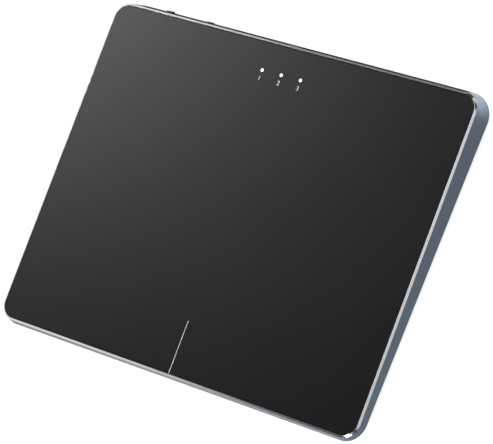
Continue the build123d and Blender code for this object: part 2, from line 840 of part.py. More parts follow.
with BuildPart() as board_screws:
    for x in pcb_screw_xs:
        shank = pcb_thickness + pcb_pilot_depth - screw_clearance
        pan_screw(x, pcb_front_y + pcb_screw_inset, pcb_top, shank, 180)
board_screws.part.label = "board_screws"
export_step(board_screws.part, "parts/board_screws.step")

# Charging socket: a folded steel shell round a plastic tongue, its mouth just inside the wall
with BuildPart() as usb_c_shell:
    with BuildSketch(Plane.XZ.offset(-usb_mouth_y)):
        with Locations((0, usb_z)):
            SlotOverall(usb_width, usb_height)
    extrude(amount=usb_length)
    with BuildSketch(Plane.XZ.offset(-usb_mouth_y)):
        with Locations((0, usb_z)):
            SlotOverall(usb_width - 2 * usb_wall, usb_height - 2 * usb_wall)
    extrude(amount=usb_length, mode=Mode.SUBTRACT)
usb_c_shell.part.label = "usb_c_shell"
export_step(usb_c_shell.part, "parts/usb_c_shell.step")

with BuildPart() as usb_c_tongue:
    with BuildSketch(Plane.XZ.offset(-usb_rear_y)):
        with Locations((0, usb_z)):
            SlotOverall(usb_width - 2 * usb_wall, usb_height - 2 * usb_wall)
    extrude(amount=-usb_back)
    with BuildSketch(Plane.XZ.offset(-usb_rear_y)):
        with Locations((0, usb_z)):
            Rectangle(tongue_plate_width, tongue_plate_height)
    extrude(amount=tongue_plate_recess - usb_length)
usb_c_tongue.part.label = "usb_c_tongue"
export_step(usb_c_tongue.part, "parts/usb_c_tongue.step")

# Slide switch: its body on the board, its lever, and the knob that the lever carries
with BuildPart() as power_switch_body:
    with BuildSketch(Plane.XZ.offset(-slide_body_y)):
        with Locations((knob_slot_x, pcb_top)):
            Rectangle(slide_body_width, slide_body_height, align=(Align.CENTER, Align.MIN))
    extrude(amount=slide_body_depth)
    with BuildSketch(Plane.XZ.offset(-slide_body_y)):
        with Locations((knob_slot_x, controls_z)):
            Rectangle(lever_width + knob_travel + 2 * lever_clearance, lever_height + 2 * lever_clearance)
    extrude(amount=lever_depth + lever_clearance, mode=Mode.SUBTRACT)
power_switch_body.part.label = "power_switch_body"
export_step(power_switch_body.part, "parts/power_switch_body.step")

with BuildPart() as power_switch_lever:
    with BuildSketch(Plane.XZ.offset(-lever_front_y)):
        with Locations((knob_x, controls_z)):
            Rectangle(lever_width, lever_height)
    extrude(amount=-lever_depth - shutter_gap - lever_grip)
power_switch_lever.part.label = "power_switch_lever"
export_step(power_switch_lever.part, "parts/power_switch_lever.step")

shutter_front_y = slide_body_y + shutter_gap
shutter_width = knob_slot_width + knob_travel + 2 * shutter_overlap

with BuildPart() as power_switch_knob:
    with BuildSketch(Plane.XZ.offset(-shutter_front_y)):
        with Locations((knob_x, controls_z)):
            RectangleRounded(knob_width, knob_height, knob_edge)
    extrude(amount=-overrun)
    split(bisect_by=rear_face.offset(knob_stand), keep=Keep.BOTTOM)
    fillet(power_switch_knob.faces().sort_by(Axis.Y)[-1].edges(), knob_edge / 2)
    with BuildSketch(Plane.XZ.offset(-shutter_front_y)):
        with Locations((knob_x, controls_z)):
            Rectangle(shutter_width, knob_slot_height + 2 * shutter_overlap)
    extrude(amount=-shutter_thickness)
    with BuildSketch(Plane.XZ.offset(-shutter_front_y)):
        with Locations((knob_x, controls_z)):
            Rectangle(lever_width, lever_height)
    extrude(amount=-lever_grip, mode=Mode.SUBTRACT)
power_switch_knob.part.label = "power_switch_knob"
export_step(power_switch_knob.part, "parts/power_switch_knob.step")

# Push switch: its body on the board, its plunger, and the cap in the wall
with BuildPart() as select_switch_body:
    with BuildSketch(Plane.XZ.offset(-push_body_y)):
        with Locations((button_x, pcb_top)):
            Rectangle(push_body_width, push_body_height, align=(Align.CENTER, Align.MIN))
    extrude(amount=push_body_depth)
    with BuildSketch(Plane.XZ.offset(-push_body_y)):
        with Locations((button_x, controls_z)):
            Circle(push_plunger_radius + lever_clearance)
    extrude(amount=push_plunger_depth + button_travel + lever_clearance, mode=Mode.SUBTRACT)
select_switch_body.part.label = "select_switch_body"
export_step(select_switch_body.part, "parts/select_switch_body.step")

with BuildPart() as select_switch_plunger:
    with BuildSketch(Plane.XZ.offset(push_plunger_depth - push_body_y)):
        with Locations((button_x, controls_z)):
            Circle(push_plunger_radius)
    extrude(amount=-push_plunger_depth - push_plunger_length)
select_switch_plunger.part.label = "select_switch_plunger"
export_step(select_switch_plunger.part, "parts/select_switch_plunger.step")

with BuildPart() as select_button_cap:
    with BuildSketch(Plane.XZ.offset(button_flange_thickness - button_flange_y)):
        with Locations((button_x, controls_z)):
            Circle(button_radius)
    extrude(amount=-overrun)
    split(bisect_by=rear_face.offset(button_stand), keep=Keep.BOTTOM)
    fillet(select_button_cap.faces().sort_by(Axis.Y)[-1].edges(), button_edge)
    with BuildSketch(Plane.XZ.offset(button_flange_thickness - button_flange_y)):
        with Locations((button_x, controls_z)):
            Circle(button_flange_radius)
    extrude(amount=-button_flange_thickness)
select_button_cap.part.label = "select_button_cap"
export_step(select_button_cap.part, "parts/select_button_cap.step")


# Chips and parts on the main board
def chip(x, y, width, depth, height):
    """A flat block on the main board, centred at x and y."""
    with Locations((x, y, pcb_top)):
        Box(width, depth, height, align=(Align.CENTER, Align.CENTER, Align.MIN))


pcb_middle_y = (pcb_front_y + pcb_rear_y) / 2
antenna_x = radio_x - shield_width / 2 - antenna_gap - antenna_width / 2

with BuildPart() as radio_chip:
    chip(radio_x, pcb_middle_y, radio_chip_size, radio_chip_size, radio_chip_height)
radio_chip.part.label = "radio_chip"
export_step(radio_chip.part, "parts/radio_chip.step")

with BuildPart() as radio_shield:
    chip(radio_x, pcb_middle_y, shield_width, shield_depth, shield_height)
    with BuildSketch(Plane.XY.offset(pcb_top)):
        with Locations((radio_x, pcb_middle_y)):
            Rectangle(shield_width - 2 * shield_wall, shield_depth - 2 * shield_wall)
    extrude(amount=shield_height - shield_wall, mode=Mode.SUBTRACT)
radio_shield.part.label = "radio_shield"
export_step(radio_shield.part, "parts/radio_shield.step")

with BuildPart() as crystal:
    chip(
        radio_x + radio_chip_size / 2 + crystal_width, pcb_middle_y, crystal_width, crystal_length,
        crystal_height,
    )
crystal.part.label = "crystal"
export_step(crystal.part, "parts/crystal.step")

with BuildPart() as charger_chip:
    chip((button_x - usb_width / 2) / 2, pcb_middle_y, charger_chip_size, charger_chip_size, charger_chip_height)
charger_chip.part.label = "charger_chip"
export_step(charger_chip.part, "parts/charger_chip.step")

with BuildPart() as antenna:
    chip(antenna_x, pcb_rear_y - antenna_length, antenna_width, antenna_length, antenna_height)
antenna.part.label = "antenna"
export_step(antenna.part, "parts/antenna.step")

# Ribbon cable: it leaves the sensor board's socket to the rear, turns down and comes back
upper_ribbon_depth = board_underside + ribbon_socket_height / 2
lower_ribbon_z = pcb_top + ribbon_socket_height / 2
upper_mouth_v = ribbon_socket_v + ribbon_socket_depth
upper_mouth_y = face_y + upper_mouth_v * wedge_cos + upper_ribbon_depth * wedge_sin
upper_mouth_z = height_below_face(upper_mouth_y, upper_ribbon_depth)
lower_mouth_y = ribbon_socket_front_y + ribbon_socket_depth
socket_slot_height = ribbon_thickness + 2 * ribbon_slack
socket_slot_width = ribbon_width + 2 * ribbon_slack

with BuildPart() as plate_ribbon_socket:
    with BuildSketch(face_plane.offset(-board_underside)):
        with Locations((ribbon_x, ribbon_socket_v)):
            Rectangle(ribbon_socket_width, ribbon_socket_depth, align=(Align.CENTER, Align.MIN))
    extrude(amount=-ribbon_socket_height)
    with BuildSketch(face_plane.offset(socket_slot_height / 2 - upper_ribbon_depth)):
        with Locations((ribbon_x, ribbon_socket_v + ribbon_socket_depth)):
            Rectangle(
                socket_slot_width, ribbon_entry + ribbon_slack, align=(Align.CENTER, Align.MAX)
            )
    extrude(amount=-socket_slot_height, mode=Mode.SUBTRACT)
plate_ribbon_socket.part.label = "plate_ribbon_socket"
export_step(plate_ribbon_socket.part, "parts/plate_ribbon_socket.step")

with BuildPart() as board_ribbon_socket:
    chip(
        ribbon_x, ribbon_socket_front_y + ribbon_socket_depth / 2, ribbon_socket_width,
        ribbon_socket_depth, ribbon_socket_height,
    )
    with BuildSketch(Plane.XY.offset(lower_ribbon_z - socket_slot_height / 2)):
        with Locations((ribbon_x, lower_mouth_y)):
            Rectangle(
                socket_slot_width, ribbon_entry + ribbon_slack, align=(Align.CENTER, Align.MAX)
            )
    extrude(amount=socket_slot_height, mode=Mode.SUBTRACT)
board_ribbon_socket.part.label = "board_ribbon_socket"
export_step(board_ribbon_socket.part, "parts/board_ribbon_socket.step")

with BuildPart() as ribbon_cable:
    with BuildLine(Plane.YZ.offset(ribbon_x)) as ribbon_path:
        upper_end_z = upper_mouth_z + ribbon_run * wedge_sin
        turn_radius = (upper_end_z - lower_ribbon_z) / (1 + wedge_cos)
        upper_end = (upper_mouth_y + ribbon_run * wedge_cos, upper_end_z)
        turn_middle = (upper_end[0] + turn_radius * wedge_sin, upper_end_z - turn_radius * wedge_cos)
        Line(
            (upper_mouth_y - ribbon_entry * wedge_cos, upper_mouth_z - ribbon_entry * wedge_sin),
            upper_end,
        )
        RadiusArc(upper_end, (turn_middle[0] + turn_radius, turn_middle[1]), turn_radius)
        RadiusArc(
            (turn_middle[0] + turn_radius, turn_middle[1]), (turn_middle[0], lower_ribbon_z), turn_radius
        )
        Line((turn_middle[0], lower_ribbon_z), (lower_mouth_y - ribbon_entry, lower_ribbon_z))
    with BuildSketch(
        Plane(origin=ribbon_path.line @ 0, x_dir=(1, 0, 0), z_dir=ribbon_path.line % 0)
    ):
        Rectangle(ribbon_width, ribbon_thickness)
    sweep(path=ribbon_path.line)
ribbon_cable.part.label = "ribbon_cable"
export_step(ribbon_cable.part, "parts/ribbon_cable.step")

# Battery: a flat pouch cell on tape, with its leads and plug
with BuildPart() as battery_tape:
    with BuildSketch(Plane.XY.offset(cover_floor)):
        with Locations((0, cell_middle_y)):
            Rectangle(cell_width - 2 * tape_margin, cell_depth - 2 * tape_margin)
    extrude(amount=tape_thickness)
battery_tape.part.label = "battery_tape"
export_step(battery_tape.part, "parts/battery_tape.step")

with BuildPart() as battery_cell:
    with BuildSketch(Plane.XY.offset(cell_bottom)):
        with Locations((0, cell_middle_y)):
            Rectangle(cell_width, cell_depth)
    extrude(amount=cell_thickness)
    fillet(battery_cell.edges().filter_by(Axis.Y), cell_edge)
battery_cell.part.label = "battery_cell"
export_step(battery_cell.part, "parts/battery_cell.step")

header_rear_y = pcb_front_y + header_depth
plug_width = header_width - 2 * header_wall - 2 * header_clearance
plug_height = header_height - 2 * header_wall - 2 * header_clearance
plug_z = pcb_top + header_height / 2
plug_rear_y = pcb_front_y + header_depth - header_wall - header_clearance

with BuildPart() as battery_header:
    chip(header_x, pcb_front_y + header_depth / 2, header_width, header_depth, header_height)
    with BuildSketch(Plane.XZ.offset(-pcb_front_y)):
        with Locations((header_x, plug_z)):
            Rectangle(header_width - 2 * header_wall, header_height - 2 * header_wall)
    extrude(amount=header_wall - header_depth, mode=Mode.SUBTRACT)
battery_header.part.label = "battery_header"
export_step(battery_header.part, "parts/battery_header.step")

with BuildPart() as battery_plug:
    with BuildSketch(Plane.XZ.offset(-plug_rear_y)):
        with Locations((header_x, plug_z)):
            Rectangle(plug_width, plug_height)
    extrude(amount=plug_length)
battery_plug.part.label = "battery_plug"
export_step(battery_plug.part, "parts/battery_plug.step")


def lead_points(x):
    """A lead's route: out of the cell's rear edge, up, and level into the plug."""
    plug_front_y = plug_rear_y - plug_length
    cell_z = cell_bottom + cell_thickness / 2
    middle_y = (cell_rear_y + plug_front_y) / 2
    return [
        (x, cell_rear_y, cell_z),
        (x, middle_y - lead_tail, cell_z),
        (x, middle_y + lead_tail, plug_z),
        (x, plug_front_y, plug_z),
    ]


for lead_name, lead_x in (
    ("battery_lead_red", header_x + lead_pitch / 2),
    ("battery_lead_black", header_x - lead_pitch / 2),
):
    with BuildPart() as battery_lead:
        with BuildLine() as lead_path:
            FilletPolyline(*lead_points(lead_x), radius=lead_bend)
        with BuildSketch(Plane.XZ.offset(-cell_rear_y)):
            with Locations((lead_x, cell_bottom + cell_thickness / 2)):
                Circle(lead_radius)
        sweep(path=lead_path.line)
    battery_lead.part.label = lead_name
    export_step(battery_lead.part, f"parts/{lead_name}.step")

print("wedge angle", round(math.degrees(wedge_angle), 3))
print("hinge at", round(hinge_y, 4), round(hinge_z, 4), "plunger at", round(click_y, 3))
print("click lever", round(hinge_y - click_y, 3), "socket height", round(usb_z, 3))
print("socket mouth y", round(usb_mouth_y, 3), "foot", foot_x, round(foot_rear_y, 3))
print("overall length", round(2 * half_length, 3), "rear wall y at controls", round(rear_face.origin.Y, 3))
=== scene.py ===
import json
import math

import bpy
import numpy as np
from mathutils import Matrix, Vector

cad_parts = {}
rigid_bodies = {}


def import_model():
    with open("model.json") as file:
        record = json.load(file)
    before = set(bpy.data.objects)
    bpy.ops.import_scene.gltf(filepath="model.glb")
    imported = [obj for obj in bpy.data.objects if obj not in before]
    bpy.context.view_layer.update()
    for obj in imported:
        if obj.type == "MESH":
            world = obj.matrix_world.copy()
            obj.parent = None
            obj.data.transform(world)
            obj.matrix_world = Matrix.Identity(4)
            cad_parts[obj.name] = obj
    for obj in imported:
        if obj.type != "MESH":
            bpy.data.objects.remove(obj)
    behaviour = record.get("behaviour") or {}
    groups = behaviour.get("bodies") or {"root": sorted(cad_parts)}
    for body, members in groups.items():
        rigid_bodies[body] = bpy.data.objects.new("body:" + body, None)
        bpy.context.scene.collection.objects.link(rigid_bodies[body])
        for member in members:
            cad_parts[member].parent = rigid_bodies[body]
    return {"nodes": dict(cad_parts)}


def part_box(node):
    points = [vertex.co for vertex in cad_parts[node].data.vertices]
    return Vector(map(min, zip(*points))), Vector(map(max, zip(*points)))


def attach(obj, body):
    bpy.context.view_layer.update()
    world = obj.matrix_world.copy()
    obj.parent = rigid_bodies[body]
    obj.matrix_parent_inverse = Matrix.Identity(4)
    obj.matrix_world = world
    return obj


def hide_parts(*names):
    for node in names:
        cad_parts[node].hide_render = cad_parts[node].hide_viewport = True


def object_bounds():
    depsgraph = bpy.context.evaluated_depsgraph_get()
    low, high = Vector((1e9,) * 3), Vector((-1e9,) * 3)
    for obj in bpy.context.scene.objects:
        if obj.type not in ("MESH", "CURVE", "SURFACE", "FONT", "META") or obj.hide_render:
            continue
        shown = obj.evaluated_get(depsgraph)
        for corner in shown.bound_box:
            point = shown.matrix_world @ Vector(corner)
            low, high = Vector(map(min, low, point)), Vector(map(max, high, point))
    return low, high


for leftover in list(bpy.data.objects):
    bpy.data.objects.remove(leftover)
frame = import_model()
cad_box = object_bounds()
mm = 0.001

# The touch face
# The top of the trackpad is one flat face that leans forward a little. Everything on top is placed
# on it: across to the right, along to the rear, and depth straight down from it.
face_width = 160.0 * mm
face_depth = 125.0 * mm
face_corner = 5.5 * mm
corner_steps = 24
rear_wall = 7.6 * mm
front_wall = 3.3 * mm
plate_gap = 0.2 * mm
plate_thickness = 0.9 * mm
lean = math.atan((rear_wall - front_wall) / face_depth)
plate_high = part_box("touch_surface")[1]
plate_half = face_depth / 2 - plate_gap
face_y = plate_high[1] - plate_half * math.cos(lean) - plate_thickness * math.sin(lean)
face_z = plate_high[2] - plate_half * math.sin(lean)


def on_face(across, along, depth):
    """Points on the leaning face: along runs up the lean by its cosine and sine, depth runs down
    square to it."""
    across, along, depth = np.broadcast_arrays(across, along, depth)
    y = face_y + along * math.cos(lean) + depth * math.sin(lean)
    z = face_z + along * math.sin(lean) - depth * math.cos(lean)
    return np.stack((across, y, z), axis=-1)


# Side frame
# One ring machined from aluminium plate: drafted walls, a thin lip at the face, and bosses inside.
# It is bead blasted and anodised blue-grey, and then its top bevel is cut bright.
rim_land = 0.1 * mm
rim_width = 0.85 * mm
rim_drop = 0.62 * mm
wall_draft = math.radians(15.0)
flare = math.tan(wall_draft)
corner_growth = 0.2
base_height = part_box("side_frame")[0][2]


def rounded_outline(half_x, half_y, radius, steps):
    """Points round a rounded rectangle, anticlockwise, and the outward direction at each. A corner
    is its centre plus the radius times (cos a, sin a) over a quarter turn."""
    angle = np.linspace(0, math.pi / 2, steps) + np.arange(4)[:, None] * math.pi / 2
    outward = np.stack((np.cos(angle), np.sin(angle)), axis=-1)
    corner = np.array([(1, 1), (-1, 1), (-1, -1), (1, -1)])[:, None]
    points = corner * np.array([half_x - radius, half_y - radius]) + radius * outward
    return points.reshape(-1, 2), outward.reshape(-1, 2)


outline, outward = rounded_outline(face_width / 2, face_depth / 2, face_corner, corner_steps)
bevel_foot = on_face(*(outline + outward * rim_width).T, rim_drop)
# The corners' radius grows downwards too, so each corner's middle falls back towards its centre
corner_sides = np.repeat(np.array([(1, 1), (-1, 1), (-1, -1), (1, -1)]), corner_steps, axis=0)
spread_out = outward * flare + (outward - corner_sides) * corner_growth
wall_next = on_face(*(outline + outward * rim_width + spread_out * mm).T, rim_drop + mm)
wall_down = wall_next - bevel_foot
steps_down = (base_height - bevel_foot[:, 2:]) / wall_down[:, 2:]
opening_depth = (face_z + outline[:, 1] * math.sin(lean) - base_height) / math.cos(lean)
frame_corners = np.stack(
    (
        on_face(*outline.T, opening_depth),
        bevel_foot + steps_down * wall_down,
        bevel_foot,
        on_face(*(outline + outward * rim_land).T, 0.0),
        on_face(*outline.T, 0.0),
    )
)


def soften(corners, setback, steps):
    """Rounds every corner of a closed profile. With A and B set back from the corner C along its
    two sides, the edge follows (1 - t)^2 A + 2 t (1 - t) C + t^2 B."""
    before = np.roll(corners, 1, axis=0) - corners
    after = np.roll(corners, -1, axis=0) - corners
    reach = np.array(setback)[:, None, None]
    start = corners + reach * before / np.linalg.norm(before, axis=-1, keepdims=True)
    stop = corners + reach * after / np.linalg.norm(after, axis=-1, keepdims=True)
    t = np.linspace(0, 1, steps)[None, :, None, None]
    start, corners, stop = start[:, None], corners[:, None], stop[:, None]
    curve = (1 - t) ** 2 * start + 2 * t * (1 - t) * corners + t**2 * stop
    return curve.reshape(-1, *curve.shape[2:])


def put(name, data):
    """Puts a mesh, a lamp or a camera into the scene, at the origin."""
    placed = bpy.data.objects.new(name, data)
    bpy.context.scene.collection.objects.link(placed)
    return placed


def piece_from(name, points, faces):
    """A piece with these points and faces, in the scene."""
    mesh = bpy.data.meshes.new(name)
    mesh.from_pydata(points.tolist(), [], faces)
    return put(name, mesh)


def skin_over(name, loops, ends=True):
    """A skin over closed loops that climb upwards. Point j of loop i joins point j + 1 and the same
    points of loop i + 1; the first and last loops are closed by flat ends, or join each other."""
    count, width = loops.shape[:2]
    i, j = np.meshgrid(np.arange(count - 1 if ends else count), np.arange(width), indexing="ij")
    above, beside = (i + 1) % count, (j + 1) % width
    quads = np.stack(
        (i * width + j, i * width + beside, above * width + beside, above * width + j), axis=-1
    )
    faces = quads.reshape(-1, 4).tolist()
    if ends:
        ring = np.arange(width)
        faces += [ring[::-1].tolist(), (ring + (count - 1) * width).tolist()]
    return piece_from(name, loops.reshape(-1, 3), faces)


edge_setback = np.array([0.1, 0.14, 0.06, 0.03, 0.03]) * mm
edge_steps = 5
frame_loops = soften(frame_corners, edge_setback, edge_steps)
side_frame = skin_over("anodised_side_frame", frame_loops, ends=False)


def linear(hex_code):
    """An sRGB hex colour as linear red, green, blue and full opacity."""
    srgb = np.array([int(hex_code[i : i + 2], 16) for i in (1, 3, 5)]) / 255
    return (*np.where(srgb <= 0.04045, srgb / 12.92, ((srgb + 0.055) / 1.055) ** 2.4).tolist(), 1.0)


def add_node(tree, kind, settings=None, sockets=None):
    """Adds a node, sets its settings, then gives its sockets plain values or links."""
    node = tree.nodes.new(kind)
    for name, value in (settings or {}).items():
        setattr(node, name, value)
    for name, value in (sockets or {}).items():
        if isinstance(value, bpy.types.NodeSocket):
            tree.links.new(value, node.inputs[name])
        else:
            node.inputs[name].default_value = value
    return node


def new_finish(name, plain):
    """A material of one Principled surface, with plain values on its own sockets. It also gives the
    piece's own coordinates, in metres."""
    finish = bpy.data.materials.new(name)
    finish.use_nodes = True
    tree = finish.node_tree
    tree.nodes.clear()
    shader = add_node(tree, "ShaderNodeBsdfPrincipled", sockets=plain)
    add_node(tree, "ShaderNodeOutputMaterial", sockets={"Surface": shader.outputs["BSDF"]})
    return finish, tree, shader, add_node(tree, "ShaderNodeTexCoord").outputs["Object"]


anodised, anodised_tree, anodised_shader, anodised_place = new_finish(
    "anodised_aluminium_blue_grey", {"Metallic": 1.0}
)
bright_cut, bright_tree, bright_shader, bright_place = new_finish(
    "diamond_cut_aluminium", {"Metallic": 1.0, "Base Color": linear("#cdcfd0")}
)
side_frame.data.materials.append(anodised)
side_frame.data.materials.append(bright_cut)


def inner_wall(height, end):
    """Where the inside of a wall stands at a height: the face's middle plus (end times half the
    depth - the height over that middle times sin lean) / cos lean. The rear wall's end is 1 and
    the front one's is -1."""
    return face_y + (end * face_depth / 2 - (height - face_z) * math.sin(lean)) / math.cos(lean)


# The bevel is cut after anodising, so its band of faces shows bare metal. Of the loops that round
# the profile's corners, the cut starts at the middle one of the bevel's foot, the third corner,
# and ends at the last one of its top, the fourth.
loop_of_face = np.repeat(np.arange(len(frame_loops)), len(outline))
cut_start, cut_end = 2 * edge_steps + edge_steps // 2, 4 * edge_steps - 1
bare = (loop_of_face >= cut_start) & (loop_of_face < cut_end)
side_frame.data.polygons.foreach_set("material_index", bare.astype(np.int32))

# Bosses for the cover's screws, each with a stem to the nearest wall, and a block for each hinge
boss_radius = 2.6 * mm
boss_top_depth = 3.0 * mm
stem_corner = boss_radius - 0.01 * mm
rear_boss = np.array([73.5 * mm, inner_wall(base_height, 1) - 4.6 * mm])
rear_stem_half, rear_stem_shift = 3.8 * mm, 1.2 * mm
side_boss = np.array([76.4 * mm, 8.0 * mm])
side_stem_half, side_stem_shift = 3.25 * mm, 0.65 * mm
cover_pilot_radius = 1.03 * mm
hinge_x = 67.6 * mm
block_half_x, block_half_y, block_height = 3.5 * mm, 2.75 * mm, 2.2 * mm
block_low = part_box("hinge_screws")[0][2] + 1.5 * mm
block_rear = inner_wall(block_low, 1)
block_row, hinge_screw_row = block_rear - 2.45 * mm, block_rear - 2.6 * mm
hinge_pilot_radius, hinge_pilot_depth = 0.73 * mm, 1.5 * mm
both_sides = (np.array([-1, 1]), np.array([1, 1]))


def boss_top(y):
    """Height of the bosses' tops, which follow the face at a fixed depth."""
    return face_z + (y - face_y) * math.tan(lean) - boss_top_depth / math.cos(lean)


def upright_bar(outline, place, low, high):
    """An outline carried straight up from one height to another; high may differ from point to
    point."""
    x, y = (outline + np.array(place)).T
    return np.stack([np.stack(np.broadcast_arrays(x, y, z), axis=-1) for z in (low, high)])


def cut_or_join(piece, loops, operation):
    """Cuts a bar out of a piece, or joins it on, and makes the result the piece's own mesh."""
    tool = skin_over("tool", loops)
    change = piece.modifiers.new("change", "BOOLEAN")
    change.operation, change.solver, change.object = operation, "EXACT", tool
    depsgraph = bpy.context.evaluated_depsgraph_get()
    mesh = bpy.data.meshes.new_from_object(
        piece.evaluated_get(depsgraph), preserve_all_data_layers=True, depsgraph=depsgraph
    )
    piece.modifiers.clear()
    piece.data = mesh
    bpy.data.objects.remove(tool)


for side in both_sides:
    rear_stem, _ = rounded_outline(boss_radius, rear_stem_half, stem_corner, 10)
    side_stem, _ = rounded_outline(side_stem_half, boss_radius, stem_corner, 10)
    for stem, place in (
        (rear_stem + (0, rear_stem_shift), rear_boss * side),
        (side_stem + (side[0] * side_stem_shift, 0), side_boss * side),
    ):
        tops = boss_top((stem + place)[:, 1])
        cut_or_join(side_frame, upright_bar(stem, place, base_height, tops), "UNION")
    block, _ = rounded_outline(block_half_x, block_half_y, 0.3 * mm, 4)
    block_place = (side[0] * hinge_x, block_row)
    block_bar = upright_bar(block, block_place, block_low, block_low + block_height)
    cut_or_join(side_frame, block_bar, "UNION")


def round_outline(radius, steps):
    """Points round a circle, anticlockwise: the radius times (cos a, sin a) over a full turn."""
    angle = np.arange(steps) * 2 * math.pi / steps
    return radius * np.stack((np.cos(angle), np.sin(angle)), axis=-1)


pilot = round_outline(cover_pilot_radius, 32)
hinge_pilot = round_outline(hinge_pilot_radius, 24)
rear_pilot_top = base_height + 3.1 * mm
side_pilot_top = float(boss_top(side_boss[1])) - 0.7 * mm
for side in both_sides:
    hinge_place = (side[0] * hinge_x, hinge_screw_row)
    for hole in (
        upright_bar(pilot, rear_boss * side, 0.0, rear_pilot_top),
        upright_bar(pilot, side_boss * side, 0.0, side_pilot_top),
        upright_bar(hinge_pilot, hinge_place, base_height, block_low + hinge_pilot_depth),
    ):
        cut_or_join(side_frame, hole, "DIFFERENCE")

# Three notches inside the front wall take the hooks of the cover's tongues
notch_half_x, notch_reach, notch_height = 6.08 * mm, 0.5 * mm, 0.61 * mm
notch_low = base_height + 0.57 * mm
notch_y = inner_wall(base_height, -1)
notch, _ = rounded_outline(notch_half_x, notch_reach, 0.02 * mm, 2)
for notch_x in (-52.0 * mm, 0.0, 52.0 * mm):
    notch_bar = upright_bar(notch, (notch_x, notch_y), notch_low, notch_low + notch_height)
    cut_or_join(side_frame, notch_bar, "DIFFERENCE")



def middle_of(node):
    """The middle of a CAD node's box."""
    return np.mean(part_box(node), axis=0)


# Through the rear wall: the charging port, the slide switch's slot and the push button's hole
controls_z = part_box("select_button_cap")[0][2] + 2.05 * mm
button_x, knob_x = middle_of("select_button_cap")[0], middle_of("power_switch_knob")[0]
knob_travel = 2.0 * mm
port_z = middle_of("usb_c_shell")[2]
port_opening, _ = rounded_outline(4.62 * mm, 1.78 * mm, 1.775 * mm, 16)
slot_opening, _ = rounded_outline(2.5 * mm, 1.35 * mm, 0.25 * mm, 6)
button_opening = round_outline(1.85 * mm, 48)
rear_openings = (
    (port_opening, (0.0, port_z)),
    (slot_opening, (knob_x + knob_travel / 2, controls_z)),
    (button_opening, (button_x, controls_z)),
)


def level_bar(outline, place, rear, front):
    """An outline of widths and heights carried straight forward through the rear wall."""
    x, z = (outline + np.array(place)).T
    return np.stack([np.stack(np.broadcast_arrays(x, y, z), axis=-1) for y in (rear, front)])


behind_wall, before_wall = cad_box[1][1] + 1 * mm, block_rear - 1.5 * mm
for opening, place in rear_openings:
    cut_or_join(side_frame, level_bar(opening, place, behind_wall, before_wall), "DIFFERENCE")


def vary(tree, shader, pattern, colours=None, roughness=None, relief=None):
    """Lets a pattern's value f vary a surface. The colour is the first hex colour times 1 - f plus
    the second times f, the roughness runs between two values in the same way, and the surface
    rises by a depth in metres times f, as strongly as the relief's second value says."""
    if colours:
        # The Mix node's colour sockets share their names with others, so they go by number
        ends = {0: pattern, 6: linear(colours[0]), 7: linear(colours[1])}
        mixed = add_node(tree, "ShaderNodeMix", {"data_type": "RGBA"}, ends)
        tree.links.new(mixed.outputs[2], shader.inputs["Base Color"])
    if roughness:
        ends = {"Value": pattern, "To Min": roughness[0], "To Max": roughness[1]}
        spread = add_node(tree, "ShaderNodeMapRange", sockets=ends)
        tree.links.new(spread.outputs["Result"], shader.inputs["Roughness"])
    if relief:
        rise = {"Height": pattern, "Distance": relief[0], "Strength": relief[1]}
        bump = add_node(tree, "ShaderNodeBump", sockets=rise)
        tree.links.new(bump.outputs["Normal"], shader.inputs["Normal"])


# Anodised aluminium, bead blasted with 0.1 mm grit: a soft metallic sheen with a fine even grain.
# The grain is drawn 0.25 mm wide, because 0.1 mm is finer than the picture shows.
grain = add_node(
    anodised_tree, "ShaderNodeTexNoise",
    sockets={"Vector": anodised_place, "Scale": 4000.0, "Detail": 2.0},
)
dye = add_node(
    anodised_tree, "ShaderNodeTexNoise",
    sockets={"Vector": anodised_place, "Scale": 30.0, "Detail": 3.0},
)
vary(anodised_tree, anodised_shader, dye.outputs["Fac"], colours=("#525d69", "#57626e"))
vary(
    anodised_tree, anodised_shader, grain.outputs["Fac"],
    roughness=(0.34, 0.44), relief=(0.006 * mm, 0.5),
)

# Bare aluminium cut with a diamond tool: satin bright, with cutter lines along the edge.
lines = add_node(
    bright_tree, "ShaderNodeTexNoise",
    sockets={"Vector": bright_place, "Scale": 900.0, "Detail": 4.0, "Roughness": 0.6},
)
vary(
    bright_tree, bright_shader, lines.outputs["Fac"],
    roughness=(0.14, 0.2), relief=(0.001 * mm, 0.4),
)
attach(side_frame, "base")
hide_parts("side_frame")

# Dark window: painted shade
# The rear wall has a long window of black ABS let into it, flush and bonded, with the port and
# the two controls coming out through it. It is painted shade for the rear wall's dark reflection.
window_thick = 0.5 * mm
window_top = rim_drop + 0.12 * mm
window_low = base_height + 0.25 * mm
window_end = 0.2 * mm
window_gap = 0.03 * mm


def rear_face(depth):
    """Place and height of the rear wall's outer face at a depth under the face: its outward reach
    grows by the flare times the depth."""
    return on_face(0.0, face_depth / 2 + rim_width + flare * (depth - rim_drop), depth)[1:]


def window_bar(margin, sink):
    """The window's section, carried across to where the corners begin: two corners on the wall's
    face and two behind them."""
    top = rear_face(window_top - margin)
    drop_per_depth = math.cos(lean) - flare * math.sin(lean)
    foot_depth = window_top + (top[1] - window_low + margin) / drop_per_depth
    foot = rear_face(foot_depth)
    inward = np.array([-1.0, -math.tan(wall_draft + lean)])
    edges = ((top, sink), (top, window_thick), (foot, window_thick), (foot, sink))
    section = np.array([point + reach * inward for point, reach in edges])
    depths = np.array([window_top, window_top, foot_depth, foot_depth])
    corner_starts = face_width / 2 - face_corner - corner_growth * (depths - rim_drop)
    half = corner_starts - window_end + margin
    return np.stack([np.insert(section, 0, side * half, axis=1) for side in (-1, 1)])


def smooth_over(piece):
    """Shades a piece smoothly, except over edges that turn by more than 30 degrees."""
    piece.data.shade_smooth()
    piece.data.set_sharp_from_angle(angle=math.radians(30))
    even = piece.modifiers.new("even shading", "WEIGHTED_NORMAL")
    even.keep_sharp = True


